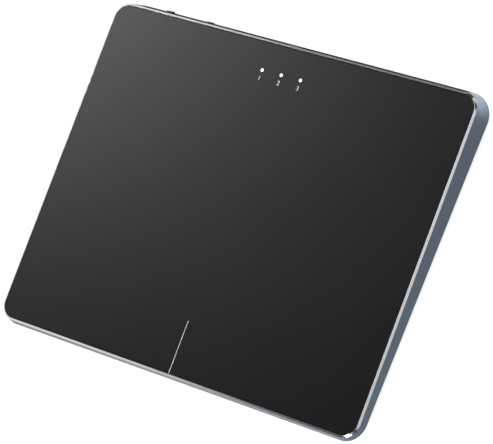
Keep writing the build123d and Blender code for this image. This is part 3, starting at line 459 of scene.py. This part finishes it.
cut_or_join(side_frame, window_bar(window_gap, -window_thick), "DIFFERENCE")
painted_shade_window = skin_over("moulded_painted_shade_window", window_bar(0.0, 0.01 * mm))
for opening, place in rear_openings:
    cut_or_join(painted_shade_window, level_bar(opening, place, behind_wall, before_wall), "DIFFERENCE")
smooth_over(side_frame)
smooth_over(painted_shade_window)

# Black ABS with a fine spark texture and no specular reflection: painted shade that stays dark even
# when seen along the wall
window_abs, tree, shader, place = new_finish(
    "black_window_painted_shade", {"IOR": 1.53, "Specular IOR Level": 0.0}
)
sparks = add_node(
    tree, "ShaderNodeTexNoise", sockets={"Vector": place, "Scale": 3500.0, "Detail": 3.0}
)
vary(
    tree, shader, sparks.outputs["Fac"],
    colours=("#0c0c0d", "#131314"), roughness=(0.6, 0.75), relief=(0.015 * mm, 0.5),
)
painted_shade_window.data.materials.append(window_abs)
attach(painted_shade_window, "base")

# Touch plate
# A thin black plate with a finely etched satin face. Its edge is broken by a small radius, three
# holes take the light windows, and a shallow groove takes the short printed line.
plate_edge = 0.12 * mm
light_row = 51.92 * mm
light_places = np.array([-8.55, 0.0, 8.55]) * mm
light_radius = 0.62 * mm
line_half = 10.0 * mm
line_along = plate_gap - face_depth / 2 + line_half
line_corner = 0.05 * mm
groove_half, groove_depth = 0.225 * mm, 0.06 * mm
under_plate, over_face = 2 * mm, -1 * mm
plate_outline, plate_outward = rounded_outline(
    face_width / 2 - plate_gap, face_depth / 2 - plate_gap, face_corner - plate_gap, corner_steps
)
t = np.linspace(0, 1, 6)
insets = np.concatenate(([0.0], plate_edge * t**2))[:, None, None]
depths = np.concatenate(([plate_thickness], plate_edge * (1 - t) ** 2))[:, None]
plate_loops = plate_outline - plate_outward * insets
plate_skin = on_face(plate_loops[..., 0], plate_loops[..., 1], depths)
touch_plate = skin_over("etched_touch_plate", plate_skin)


def face_bar(outline, across, along, deep, shallow):
    """An outline on the face carried straight up from one depth to a shallower one."""
    x, y = outline.T
    return np.stack([on_face(x + across, y + along, depth) for depth in (deep, shallow)])


light_hole = round_outline(light_radius, 40)
for across in light_places:
    hole_bar = face_bar(light_hole, across, light_row, under_plate, over_face)
    cut_or_join(touch_plate, hole_bar, "DIFFERENCE")
groove, _ = rounded_outline(groove_half, line_half, line_corner, 4)
groove_bar = face_bar(groove, 0.0, line_along, groove_depth, over_face)
cut_or_join(touch_plate, groove_bar, "DIFFERENCE")
smooth_over(touch_plate)

# Black polycarbonate film with an etched matt coat: a satin face whose grain is about 0.05 mm,
# drawn at 0.2 mm so that it shows close up.
satin_black, tree, shader, place = new_finish(
    "etched_black_polycarbonate", {"IOR": 1.5, "Specular IOR Level": 0.18}
)
etch = add_node(
    tree, "ShaderNodeTexNoise", sockets={"Vector": place, "Scale": 5000.0, "Detail": 2.0}
)
smear = add_node(
    tree, "ShaderNodeTexNoise", sockets={"Vector": place, "Scale": 22.0, "Detail": 3.0}
)
vary(tree, shader, smear.outputs["Fac"], colours=("#010101", "#030303"), roughness=(0.27, 0.30))
vary(tree, shader, etch.outputs["Fac"], relief=(0.002 * mm, 0.4))
touch_plate.data.materials.clear()
touch_plate.data.materials.append(satin_black)
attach(touch_plate, "touch_plate")
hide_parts("touch_surface")

# Line and numbers
# The line that parts the left click area from the right one is a strip of grey ink in its groove.
# The plain numbers under the lights are printed on the face in a paler ink.
ink_thickness = 0.012 * mm
number_row, number_height = 48.87 * mm, 1.8 * mm
strip_half_x, strip_half_y = 0.15 * mm, line_half - 0.02 * mm
strip_outline, strip_outward = rounded_outline(strip_half_x, strip_half_y, line_corner, 4)
strip_depths = np.array([0.058, 0.02, 0.012])[:, None] * mm
strip_insets = np.array([0.0, 0.0, 0.02])[:, None, None] * mm
strip_loops = strip_outline - strip_outward * strip_insets
strip_skin = on_face(strip_loops[..., 0], strip_loops[..., 1] + line_along, strip_depths)
printed_line = skin_over("printed_click_line", strip_skin)

# Screen-printed ink: a matt face with the mesh's weave in it, 0.1 mm apart. The line is mid grey
# and the numbers are pale grey.
greys = {}
for grey, first, second in (("mid", "#77797b", "#838587"), ("pale", "#bbbdbf", "#c8cacc")):
    ink, tree, shader, place = new_finish(f"screen_printed_{grey}_grey_ink", {"Roughness": 0.6})
    weave = add_node(
        tree, "ShaderNodeTexNoise", sockets={"Vector": place, "Scale": 6000.0, "Detail": 1.0}
    )
    vary(tree, shader, weave.outputs["Fac"], colours=(first, second), relief=(0.002 * mm, 0.5))
    greys[grey] = ink


def printed_number(name, text, height, across, along):
    """A number as flat raised ink: the letter's own points laid on the face, its thickness
    upwards. A number is 0.73 times as high as its letter's size."""
    letter = bpy.data.curves.new(name, "FONT")
    letter.body, letter.size, letter.extrude = text, height / 0.73, ink_thickness / 2
    letter.align_x, letter.align_y, letter.resolution_u = "CENTER", "CENTER", 4
    writing = put(name, letter)
    depsgraph = bpy.context.evaluated_depsgraph_get()
    mesh = bpy.data.meshes.new_from_object(writing.evaluated_get(depsgraph))
    bpy.data.objects.remove(writing)
    points = np.empty(len(mesh.vertices) * 3)
    mesh.vertices.foreach_get("co", points)
    x, y, z = points.reshape(-1, 3).T
    x, y = x - (x.max() + x.min()) / 2, y - (y.max() + y.min()) / 2
    laid = on_face(x + across, y + along, -z - ink_thickness / 2)
    mesh.vertices.foreach_set("co", laid.ravel())
    return put(name, mesh)


printed = [(printed_line, "mid")]
for text, across in zip("123", light_places):
    number = printed_number("printed_number_" + text, text, number_height, across, number_row)
    printed.append((number, "pale"))
for piece, grey in printed:
    piece.data.materials.clear()
    piece.data.materials.append(greys[grey])
    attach(piece, "touch_plate")

# Light windows
# Three clear polycarbonate pins that carry the diodes' light to the face. All three are lit, so
# their tops are white; the moulded pins scatter the light a little unevenly.
lit_window, tree, shader, place = new_finish(
    "lit_polycarbonate_window",
    {
        "Base Color": linear("#f4f7fb"), "Roughness": 0.25, "IOR": 1.58,
        "Emission Color": linear("#f6f9ff"),
    },
)
scatter = add_node(
    tree, "ShaderNodeTexNoise", sockets={"Vector": place, "Scale": 2500.0, "Detail": 2.0}
)
glow = add_node(
    tree, "ShaderNodeMapRange",
    sockets={"Value": scatter.outputs["Fac"], "To Min": 0.85, "To Max": 1.1},
)
tree.links.new(glow.outputs["Result"], shader.inputs["Emission Strength"])


def give(finish, *names):
    """Gives CAD nodes a finish in place of the one they came with."""
    for name in names:
        frame["nodes"][name].material_slots[0].material = finish


give(lit_window, "indicator_lenses")

# Bottom cover
# A tray moulded in black ABS, screwed up into the frame. The mould was spark eroded, which leaves a
# fine matt texture of about 0.15 mm, drawn at 0.3 mm.
moulded_abs, tree, shader, place = new_finish("spark_textured_black_abs", {"IOR": 1.53})
texture = add_node(
    tree, "ShaderNodeTexNoise", sockets={"Vector": place, "Scale": 3300.0, "Detail": 3.0}
)
flow = add_node(tree, "ShaderNodeTexNoise", sockets={"Vector": place, "Scale": 25.0, "Detail": 2.0})
vary(tree, shader, flow.outputs["Fac"], colours=("#1c1d1e", "#232425"))
vary(tree, shader, texture.outputs["Fac"], roughness=(0.48, 0.62), relief=(0.02 * mm, 0.6))
give(moulded_abs, "bottom_cover")

# Feet
# Four round pads of soft black rubber in shallow recesses, glued. Their lower edges are moulded
# round and the face that stands on the desk is a little dished.
feet_low, feet_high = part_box("rubber_feet")
foot_radius = 5.0 * mm
foot_round = 0.35 * mm
foot_steps = 72


def repeated(name, points, faces, places):
    """One shape's points and faces repeated at several places, as one piece."""
    placed = (np.array(places)[:, None] + points[None]).reshape(-1, 3)
    starts = [k * len(points) for k in range(len(places))]
    everywhere = [[index + start for index in face] for start in starts for face in faces]
    return piece_from(name, placed, everywhere)


def read_out(piece):
    """A piece's points and faces; the piece itself is then removed."""
    points = np.empty(len(piece.data.vertices) * 3)
    piece.data.vertices.foreach_get("co", points)
    faces = [list(face.vertices) for face in piece.data.polygons]
    bpy.data.objects.remove(piece)
    return points.reshape(-1, 3), faces


def turned(radii, heights, steps):
    """A turned shape: loop i is a circle of radius i at height i, drawn anticlockwise."""
    rings = round_outline(1.0, steps)[None] * np.array(radii)[:, None, None]
    levels = np.broadcast_to(np.array(heights)[:, None, None], rings.shape[:2] + (1,))
    return np.concatenate((rings, levels), axis=-1)


t = np.linspace(0, 1, 8)
dish_radii, dish_heights = np.array([0.6, 3.6]) * mm, np.array([0.06, 0.02]) * mm
foot_radii = np.concatenate((dish_radii, foot_radius - foot_round * (1 - t) ** 2, [foot_radius]))
foot_heights = np.concatenate((dish_heights, foot_round * t**2, [feet_high[2]]))
pad = read_out(skin_over("pad", turned(foot_radii, foot_heights, foot_steps)))
foot_x = feet_high[0] - foot_radius
foot_rows = (feet_low[1] + foot_radius, feet_high[1] - foot_radius)
foot_places = [(x, y, 0.0) for x in (-foot_x, foot_x) for y in foot_rows]
feet = repeated("rubber_pads", *pad, foot_places)
smooth_over(feet)

# Moulded silicone rubber: matt, nearly black, with a faint bloom and specks of dust
rubber, tree, shader, place = new_finish("moulded_black_silicone", {"IOR": 1.42})
bloom = add_node(
    tree, "ShaderNodeTexNoise", sockets={"Vector": place, "Scale": 300.0, "Detail": 5.0}
)
vary(
    tree, shader, bloom.outputs["Fac"],
    colours=("#17181a", "#2a2b2c"), roughness=(0.7, 0.85), relief=(0.01 * mm, 0.4),
)
feet.data.materials.append(rubber)
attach(feet, "base")
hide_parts("rubber_feet")

# Cover screws
# Four countersunk screws, driven up through the cover into the frame's bosses. They are steel with
# rolled threads and a struck cross recess, zinc plated and passivated black.
countersunk_radii = np.array([1.6, 1.74, 1.8, 1.78, 1.0]) * mm
countersunk_heights = np.array([0.0, 0.01, 0.07, 0.12, 0.75]) * mm


def rolled_screw(head_radii, head_heights, thread_radius, reach, pitch, cross):
    """A screw that stands on its head at height zero, as points and faces. The head is turned. Up
    the shank the radius is the root plus the thread's depth times 1 - |2 f - 1|, where f is the
    fraction of z / pitch - a / 2 pi. The root is 0.78 of the thread's radius, and the thread fades
    out at both ends. The recess is as wide as twice cross and narrows upwards."""
    steps = 32
    arm_width = 0.22 * cross
    climb = np.linspace(0, reach, int(8 * reach / pitch))
    fraction = (climb[:, None] / pitch - np.arange(steps) / steps) % 1.0
    fade = np.clip(np.minimum(climb, reach - climb) / pitch, 0, 1)[:, None]
    radius = thread_radius * (0.78 + 0.22 * fade * (1 - np.abs(2 * fraction - 1)))
    heights = np.broadcast_to(head_heights[-1] + climb[:, None, None], radius.shape + (1,))
    shank = np.concatenate((round_outline(1.0, steps) * radius[..., None], heights), axis=-1)
    piece = skin_over("screw", np.concatenate((turned(head_radii, head_heights, steps), shank)))
    for half_x, half_y in ((cross, arm_width), (arm_width, cross)):
        arm, _ = rounded_outline(half_x, half_y, 0.08 * cross, 4)
        recess = upright_bar(arm, (0, 0), -0.2 * cross, 0.55 * cross)
        recess[1, :, :2] *= 0.6
        cut_or_join(piece, recess, "DIFFERENCE")
    return read_out(piece)


cover_screw = rolled_screw(
    countersunk_radii, countersunk_heights,
    thread_radius=1.0 * mm, reach=2.5 * mm, pitch=0.4 * mm, cross=0.95 * mm,
)
screws_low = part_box("cover_screws")[0][2]
cover_places = [
    (*(boss * side), screws_low) for boss in (rear_boss, side_boss) for side in both_sides
]
cover_screws = repeated("threaded_cover_screws", *cover_screw, cover_places)
smooth_over(cover_screws)

# Black zinc plating: a dark slightly oily metal, with a faint olive cast where the coat is thicker
black_zinc, tree, shader, place = new_finish("black_zinc_plated_steel", {"Metallic": 1.0})
coat = add_node(
    tree, "ShaderNodeTexNoise", sockets={"Vector": place, "Scale": 900.0, "Detail": 4.0}
)
vary(
    tree, shader, coat.outputs["Fac"],
    colours=("#3b3d3f", "#4a4b47"), roughness=(0.28, 0.42), relief=(0.004 * mm, 0.5),
)
cover_screws.data.materials.append(black_zinc)
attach(cover_screws, "base")
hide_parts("cover_screws")

# Hinge
# The plate turns on two pins near the rear corners, between folded ears of two steel brackets. Each
# bracket is held up against a block of the frame by one small pan-head screw.
pan_radii = np.array([1.0, 1.2, 1.32, 1.35, 1.35, 0.7]) * mm
pan_heights = np.array([0.0, 0.04, 0.16, 0.34, 0.7, 0.7]) * mm
hinge_screw = rolled_screw(
    pan_radii, pan_heights,
    thread_radius=0.7 * mm, reach=2.25 * mm, pitch=0.3 * mm, cross=0.62 * mm,
)
hinge_screw_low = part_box("hinge_screws")[0][2]
hinge_places = [(x, middle_of("hinge_screws")[1], hinge_screw_low) for x in (-hinge_x, hinge_x)]
hinge_screws = repeated("threaded_hinge_screws", *hinge_screw, hinge_places)
smooth_over(hinge_screws)
hinge_screws.data.materials.append(black_zinc)
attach(hinge_screws, "base")
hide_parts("hinge_screws")

# Cold-rolled steel sheet: a dull grey metal whose rolling lines run across the trackpad, about
# 0.1 mm apart and drawn at 0.2 mm
rolled_steel, tree, shader, place = new_finish("cold_rolled_steel_sheet", {"Metallic": 1.0})
along_roll = add_node(
    tree, "ShaderNodeMapping", sockets={"Vector": place, "Scale": (90.0, 5000.0, 5000.0)}
)
rolling = add_node(
    tree, "ShaderNodeTexNoise",
    sockets={"Vector": along_roll.outputs["Vector"], "Scale": 1.0, "Detail": 3.0},
)
vary(
    tree, shader, rolling.outputs["Fac"],
    colours=("#a9abad", "#c3c4c5"), roughness=(0.3, 0.45), relief=(0.003 * mm, 0.5),
)
give(rolled_steel, "hinge_brackets", "stiffener_plate")

# Turned stainless steel: bright, with fine rings from the lathe, 0.05 mm apart and drawn at 0.12 mm
turned_steel, tree, shader, place = new_finish("turned_stainless_steel", {"Metallic": 1.0})
across_lathe = add_node(
    tree, "ShaderNodeMapping", sockets={"Vector": place, "Scale": (8000.0, 300.0, 300.0)}
)
rings = add_node(
    tree, "ShaderNodeTexNoise",
    sockets={"Vector": across_lathe.outputs["Vector"], "Scale": 1.0, "Detail": 2.0},
)
vary(
    tree, shader, rings.outputs["Fac"],
    colours=("#b7b8b8", "#cfd0d0"), roughness=(0.2, 0.34), relief=(0.002 * mm, 0.6),
)
give(turned_steel, "hinge_pins", "striker_disc")

# Touch sensor
# A four-layer board bonded under the plate, with a diamond grid of copper pads that feels the
# fingers. Its underside carries the controller chip, diodes, ribbon socket and snap switch.

# Green resist: lighter over copper than over the bare board. The pads are 4.2 mm across corners
resist, tree, shader, place = new_finish("green_solder_resist_on_glass_epoxy", {"IOR": 1.55})
turned_grid = add_node(
    tree, "ShaderNodeMapping",
    sockets={
        "Vector": place, "Rotation": (0.0, 0.0, math.radians(45)), "Scale": (333.0, 333.0, 333.0),
    },
)
pads = add_node(
    tree, "ShaderNodeTexVoronoi", {"feature": "DISTANCE_TO_EDGE", "voronoi_dimensions": "2D"},
    {"Vector": turned_grid.outputs["Vector"], "Scale": 1.0, "Randomness": 0.0},
)
copper = add_node(
    tree, "ShaderNodeMapRange",
    sockets={"Value": pads.outputs["Distance"], "From Min": 0.04, "From Max": 0.07},
)
vary(
    tree, shader, copper.outputs["Result"],
    colours=("#0c3f22", "#1a6a38"), roughness=(0.24, 0.32), relief=(0.035 * mm, 0.6),
)
give(resist, "sensor_board")

# Acrylic transfer tape: a clear film that looks milky over what it sticks to, with small bubbles
transfer_tape, tree, shader, place = new_finish(
    "acrylic_transfer_tape", {"IOR": 1.47, "Roughness": 0.35}
)
bubbles = add_node(tree, "ShaderNodeTexVoronoi", sockets={"Vector": place, "Scale": 900.0})
clear = add_node(
    tree, "ShaderNodeMapRange",
    sockets={"Value": bubbles.outputs["Distance"], "From Min": 0.1, "From Max": 0.25},
)
vary(tree, shader, clear.outputs["Result"], colours=("#e6e3da", "#cbc6b8"), relief=(0.01 * mm, 0.5))
give(transfer_tape, "surface_adhesive", "battery_tape")

# Phosphor in clear silicone over each diode: pale yellow and grainy, glowing while the diode is lit
phosphor, tree, shader, place = new_finish(
    "phosphor_coated_diode",
    {"IOR": 1.41, "Roughness": 0.4, "Emission Color": linear("#fff3c4"), "Emission Strength": 0.6},
)
grains = add_node(
    tree, "ShaderNodeTexNoise", sockets={"Vector": place, "Scale": 9000.0, "Detail": 2.0}
)
vary(tree, shader, grains.outputs["Fac"], colours=("#efe2a4", "#f7eec2"), relief=(0.01 * mm, 0.4))
give(phosphor, "indicator_leds")

# Epoxy moulding compound: chip packages with a fine dull black skin from the mould
epoxy, tree, shader, place = new_finish("moulded_epoxy_chip_package", {"IOR": 1.55})
filler = add_node(
    tree, "ShaderNodeTexNoise", sockets={"Vector": place, "Scale": 7000.0, "Detail": 3.0}
)
vary(
    tree, shader, filler.outputs["Fac"],
    colours=("#1b1b1c", "#262627"), roughness=(0.5, 0.66), relief=(0.006 * mm, 0.5),
)
give(epoxy, "touch_controller", "radio_chip", "charger_chip")

# Click switch
# A low surface-mounted snap switch under the front middle of the plate. Its plunger meets a small
# steel disc on the cover when the plate is pressed. Body and plunger are glass-filled nylon.
nylon, tree, shader, place = new_finish("glass_filled_nylon_dark_grey", {"IOR": 1.53})
fibres = add_node(
    tree, "ShaderNodeMapping", sockets={"Vector": place, "Scale": (1500.0, 6000.0, 6000.0)}
)
glass = add_node(
    tree, "ShaderNodeTexNoise",
    sockets={"Vector": fibres.outputs["Vector"], "Scale": 1.0, "Detail": 3.0},
)
vary(
    tree, shader, glass.outputs["Fac"],
    colours=("#3a3b3c", "#4a4b4c"), roughness=(0.42, 0.58), relief=(0.008 * mm, 0.5),
)
give(
    nylon, "click_switch_body", "click_plunger", "power_switch_body", "power_switch_lever",
    "select_switch_body", "select_switch_plunger",
)

# Main board
# A narrow board along the rear wall, held to three posts of the cover by pan-head screws. It
# carries the charging port, the two switches, the radio, the charger and the sockets.
board_low, board_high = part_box("board_screws")
board_screw = rolled_screw(
    pan_radii, pan_heights,
    thread_radius=0.7 * mm, reach=2.15 * mm, pitch=0.3 * mm, cross=0.62 * mm,
)
# Half a turn about the depth points them down
hanging = (board_screw[0] * (-1, 1, -1), board_screw[1])
middle_post = -9.0 * mm
head_radius = pan_radii.max()
board_row = middle_of("board_screws")[1]
board_columns = (board_low[0] + head_radius, middle_post, board_high[0] - head_radius)
board_places = [(x, board_row, board_high[2]) for x in board_columns]
board_screws = repeated("threaded_board_screws", *hanging, board_places)
smooth_over(board_screws)
board_screws.data.materials.append(black_zinc)
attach(board_screws, "base")
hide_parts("board_screws")

# The same resist over square-cornered tracks, 0.15 mm wide in the real one and drawn at 0.2 mm
tracked, tree, shader, place = new_finish("green_solder_resist_over_tracks", {"IOR": 1.55})
tracks = add_node(
    tree, "ShaderNodeTexVoronoi",
    {"feature": "F1", "distance": "CHEBYCHEV", "voronoi_dimensions": "2D"},
    {"Vector": place, "Scale": 420.0, "Randomness": 0.8},
)
steps_out = add_node(
    tree, "ShaderNodeMath", {"operation": "PINGPONG"}, {0: tracks.outputs["Distance"], 1: 0.1}
)
copper = add_node(
    tree, "ShaderNodeMapRange",
    sockets={"Value": steps_out.outputs["Value"], "From Min": 0.045, "From Max": 0.06},
)
vary(
    tree, shader, copper.outputs["Result"],
    colours=("#0c3f22", "#1c6e3b"), roughness=(0.24, 0.32), relief=(0.035 * mm, 0.6),
)
give(tracked, "main_board")

# Tin-plated steel can over the radio: soft silvery metal, slightly clouded
tinned, tree, shader, place = new_finish("tin_plated_steel", {"Metallic": 1.0})
cloud = add_node(
    tree, "ShaderNodeTexNoise", sockets={"Vector": place, "Scale": 350.0, "Detail": 4.0}
)
vary(
    tree, shader, cloud.outputs["Fac"],
    colours=("#c9cac8", "#dcdcda"), roughness=(0.28, 0.46), relief=(0.003 * mm, 0.4),
)
give(tinned, "radio_shield", "crystal")

# Fired alumina: the chip antenna's white ceramic, matt and very even
alumina, tree, shader, place = new_finish("fired_alumina", {"IOR": 1.76})
firing = add_node(
    tree, "ShaderNodeTexNoise", sockets={"Vector": place, "Scale": 3000.0, "Detail": 3.0}
)
vary(
    tree, shader, firing.outputs["Fac"],
    colours=("#ece9e1", "#f4f2ec"), roughness=(0.45, 0.6), relief=(0.004 * mm, 0.4),
)
give(alumina, "antenna")

# Liquid-crystal polymer: ivory sockets and plugs with faint flow lines from the mould
ivory, tree, shader, place = new_finish("moulded_ivory_polymer", {"IOR": 1.6})
flow_lines = add_node(
    tree, "ShaderNodeMapping", sockets={"Vector": place, "Scale": (400.0, 400.0, 2500.0)}
)
flow = add_node(
    tree, "ShaderNodeTexNoise",
    sockets={"Vector": flow_lines.outputs["Vector"], "Scale": 1.0, "Detail": 3.0},
)
vary(
    tree, shader, flow.outputs["Fac"],
    colours=("#e4decb", "#efe9d8"), roughness=(0.35, 0.5), relief=(0.004 * mm, 0.5),
)
give(ivory, "plate_ribbon_socket", "board_ribbon_socket", "battery_header", "battery_plug")

# Ribbon
# A flat cable from the sensor board down to the main board. It is two films of white polyester over
# tinned copper strips, which show through as faint grey stripes 0.5 mm apart.
polyester, tree, shader, place = new_finish("laminated_polyester_ribbon", {"IOR": 1.64})
strips = add_node(
    tree, "ShaderNodeTexWave", {"bands_direction": "X", "wave_profile": "SIN"},
    {"Vector": place, "Scale": 2 * math.pi / (20 * 0.5 * mm)},
)
vary(
    tree, shader, strips.outputs["Fac"],
    colours=("#eceae4", "#c9c8c4"), roughness=(0.22, 0.34), relief=(0.02 * mm, 0.6),
)
give(polyester, "ribbon_cable")

# Charging port
# A drawn steel shell, plated black, around a moulded tongue with twelve gold-plated contacts on
# each face. It is soldered to the main board and stands just inside the rear wall.
tongue_low, tongue_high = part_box("usb_c_tongue")
contact_pitch, contact_half, contact_thick = 0.5 * mm, 0.13 * mm, 0.04 * mm
tongue_half = 0.35 * mm
contact_front = tongue_high[1] - 0.5 * mm
contact_back = tongue_low[1] + 2.3 * mm
contact_middle = (contact_front + contact_back) / 2
contact_reach = (contact_front - contact_back) / 2
contact, _ = rounded_outline(contact_half, contact_reach, 0.06 * mm, 4)
contact_bar = upright_bar(contact, (0, 0), -contact_thick / 2, contact_thick / 2)
one_contact = read_out(skin_over("contact", contact_bar))
contact_x = (np.arange(12) - 5.5) * contact_pitch
contact_places = [
    (x, contact_middle, port_z + side * tongue_half) for side in (-1, 1) for x in contact_x
]
contacts = repeated("gold_port_contacts", *one_contact, contact_places)
smooth_over(contacts)

# Gold over nickel: a warm bright metal with fine rubbing marks from the plug
gold, tree, shader, place = new_finish("gold_plated_contact", {"Metallic": 1.0})
rubbing = add_node(
    tree, "ShaderNodeMapping", sockets={"Vector": place, "Scale": (9000.0, 400.0, 9000.0)}
)
rubs = add_node(
    tree, "ShaderNodeTexNoise",
    sockets={"Vector": rubbing.outputs["Vector"], "Scale": 1.0, "Detail": 2.0},
)
vary(tree, shader, rubs.outputs["Fac"], colours=("#e3b64f", "#f0cb72"), roughness=(0.18, 0.3))
contacts.data.materials.append(gold)
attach(contacts, "base")

# Black nickel plating on drawn steel: a dark glossy metal, with drawing lines along the shell
black_nickel, tree, shader, place = new_finish("black_nickel_plated_drawn_steel", {"Metallic": 1.0})
drawing = add_node(
    tree, "ShaderNodeMapping", sockets={"Vector": place, "Scale": (6000.0, 150.0, 6000.0)}
)
draw_lines = add_node(
    tree, "ShaderNodeTexNoise",
    sockets={"Vector": drawing.outputs["Vector"], "Scale": 1.0, "Detail": 2.0},
)
vary(
    tree, shader, draw_lines.outputs["Fac"],
    colours=("#2e2f31", "#3a3b3d"), roughness=(0.16, 0.28), relief=(0.002 * mm, 0.5),
)
give(black_nickel, "usb_c_shell")

# Slide switch and push button
# A black knob slides across in a slot of the rear wall, and a round black cap beside it is pushed
# in. Both are moulded in acetal with a fine texture.
acetal, tree, shader, place = new_finish(
    "moulded_black_acetal", {"IOR": 1.48, "Specular IOR Level": 0.25}
)
skin = add_node(
    tree, "ShaderNodeTexNoise", sockets={"Vector": place, "Scale": 5000.0, "Detail": 3.0}
)
vary(
    tree, shader, skin.outputs["Fac"],
    colours=("#0d0e0f", "#161718"), roughness=(0.34, 0.48), relief=(0.006 * mm, 0.5),
)
give(acetal, "power_switch_knob", "select_button_cap", "usb_c_tongue")

# Battery
# A flat lithium pouch cell taped to the cover. Its skin is aluminium foil laminated between nylon
# and polypropylene, drawn over the cell, so it is satin silver with soft dents.
pouch, tree, shader, place = new_finish("laminated_aluminium_pouch", {"Metallic": 1.0})
dents = add_node(
    tree, "ShaderNodeTexNoise", sockets={"Vector": place, "Scale": 120.0, "Detail": 3.0}
)
vary(
    tree, shader, dents.outputs["Fac"],
    colours=("#b4b6b8", "#c6c8ca"), roughness=(0.3, 0.4), relief=(0.15 * mm, 0.5),
)
give(pouch, "battery_cell")

# Silicone rubber insulation: soft satin, one lead red and one black
for name, first, second in (
    ("battery_lead_red", "#9c1414", "#b01c1a"),
    ("battery_lead_black", "#161617", "#222223"),
):
    insulation, tree, shader, place = new_finish("silicone_of_" + name, {"IOR": 1.41})
    talc = add_node(
        tree, "ShaderNodeTexNoise", sockets={"Vector": place, "Scale": 2500.0, "Detail": 3.0}
    )
    vary(
        tree, shader, talc.outputs["Fac"],
        colours=(first, second), roughness=(0.38, 0.52), relief=(0.008 * mm, 0.4),
    )
    give(insulation, name)

# Floor, light and camera
# A light table under a large soft light from the rear left, whose reflection fades over the face
# towards the front right. Panels on the left, the right and the rear show in the polished bevel,
# and two small strips give its corners their highlights. The table is opal acrylic, lit from under.
table_corners = 4.0 * np.array([(-1, -1, 0), (1, -1, 0), (1, 1, 0), (-1, 1, 0)])
floor = piece_from("floor", table_corners, [(0, 1, 2, 3)])
light_table, tree, shader, place = new_finish(
    "opal_acrylic_lit_from_under",
    {
        "Roughness": 0.9, "Specular IOR Level": 0.1,
        "Emission Color": linear("#ffffff"), "Emission Strength": 0.85,
    },
)
speckle = add_node(
    tree, "ShaderNodeTexNoise", sockets={"Vector": place, "Scale": 40.0, "Detail": 2.0}
)
vary(tree, shader, speckle.outputs["Fac"], colours=("#6c6c6c", "#707070"))
floor.data.materials.append(light_table)


def facing(place, aim):
    """The pose of a lamp at a place whose beam, its own downward axis, points at the aim."""
    turn = (Vector(aim) - Vector(place)).to_track_quat("-Z", "Y")
    return Matrix.Translation(place) @ turn.to_matrix().to_4x4()


def soft_light(name, place, aim, height, power, width=None, spread=180):
    """A soft light panel at a place, turned to face a point; its power is in watts, and it is
    square where no width is given. A grid in front of it narrows its spread, in degrees."""
    lamp = bpy.data.lights.new(name, "AREA")
    lamp.spread = math.radians(spread)
    lamp.shape, lamp.size, lamp.size_y, lamp.energy = "RECTANGLE", width or height, height, power
    holder = put(name, lamp)
    holder.matrix_world = facing(place, aim)
    holder.visible_camera = False


middle = (0.0, 0.0, 0.0)
soft_light("rear_left_softbox", (-3.0, 0.83, 2.94), middle, height=1.02, power=72.0)
soft_light("left_panel", (-1.5, 0.0, 0.35), (0.0, 0.0, 0.1), height=0.7, power=11.0, width=4.6)
soft_light("right_softbox", (0.6, 0.3, 1.2), middle, height=0.8, power=6.0)
soft_light("rear_overhead_softbox", (0.14, 0.87, 1.09), middle, height=0.6, power=9.0)
soft_light("rear_right_panel", (0.9, 1.9, 0.6), middle, height=0.8, power=4.2, width=1.6)
soft_light(
    "front_strip", (0.085, -0.27, 0.17), (0.03, -0.1, 0.0), height=0.09, power=0.35, spread=60
)
soft_light(
    "rear_corner_strip", (0.092, 0.09, 0.1), (0.092, 0.09, 0.0),
    height=0.02, power=0.25, spread=30,
)

# The room is nearly dark, apart from a soft glow up on the right, where the right bevel mirrors it
world = bpy.data.worlds.new("studio")
world.use_nodes = True
sky = world.node_tree
towards = add_node(sky, "ShaderNodeTexCoord").outputs["Generated"]
brightest = (0.69, 0.05, 0.72)
nearness = add_node(
    sky, "ShaderNodeVectorMath", {"operation": "DOT_PRODUCT"}, {0: towards, 1: brightest}
)
glow = add_node(
    sky, "ShaderNodeMapRange", {"interpolation_type": "SMOOTHSTEP"},
    {
        "Value": nearness.outputs["Value"],
        "From Min": 0.85, "From Max": 1.0, "To Min": 0.03, "To Max": 0.78,
    },
)
sky.links.new(glow.outputs["Result"], sky.nodes["Background"].inputs["Strength"])
sky.nodes["Background"].inputs["Color"].default_value = linear("#ffffff")
bpy.context.scene.world = world

# The camera's place and turn, worked out from the perspective of the face's edges in the picture
lens = bpy.data.cameras.new("camera")
lens.lens, lens.sensor_width = 201.09, 36.0
lens.clip_start, lens.clip_end = 0.05, 20.0
camera = put("camera", lens)
right = np.array([0.794869, 0.368592, -0.482000])
up = np.array([-0.248457, 0.922419, 0.295656])
pose = np.eye(4)
pose[:3, 0], pose[:3, 1], pose[:3, 2] = right, up, np.cross(right, up)
pose[:3, 3] = (0.550621, -0.116060, 0.815258)
camera.matrix_world = pose.T.tolist()
bpy.context.scene.camera = camera
bpy.context.scene.view_settings.view_transform = "Standard"
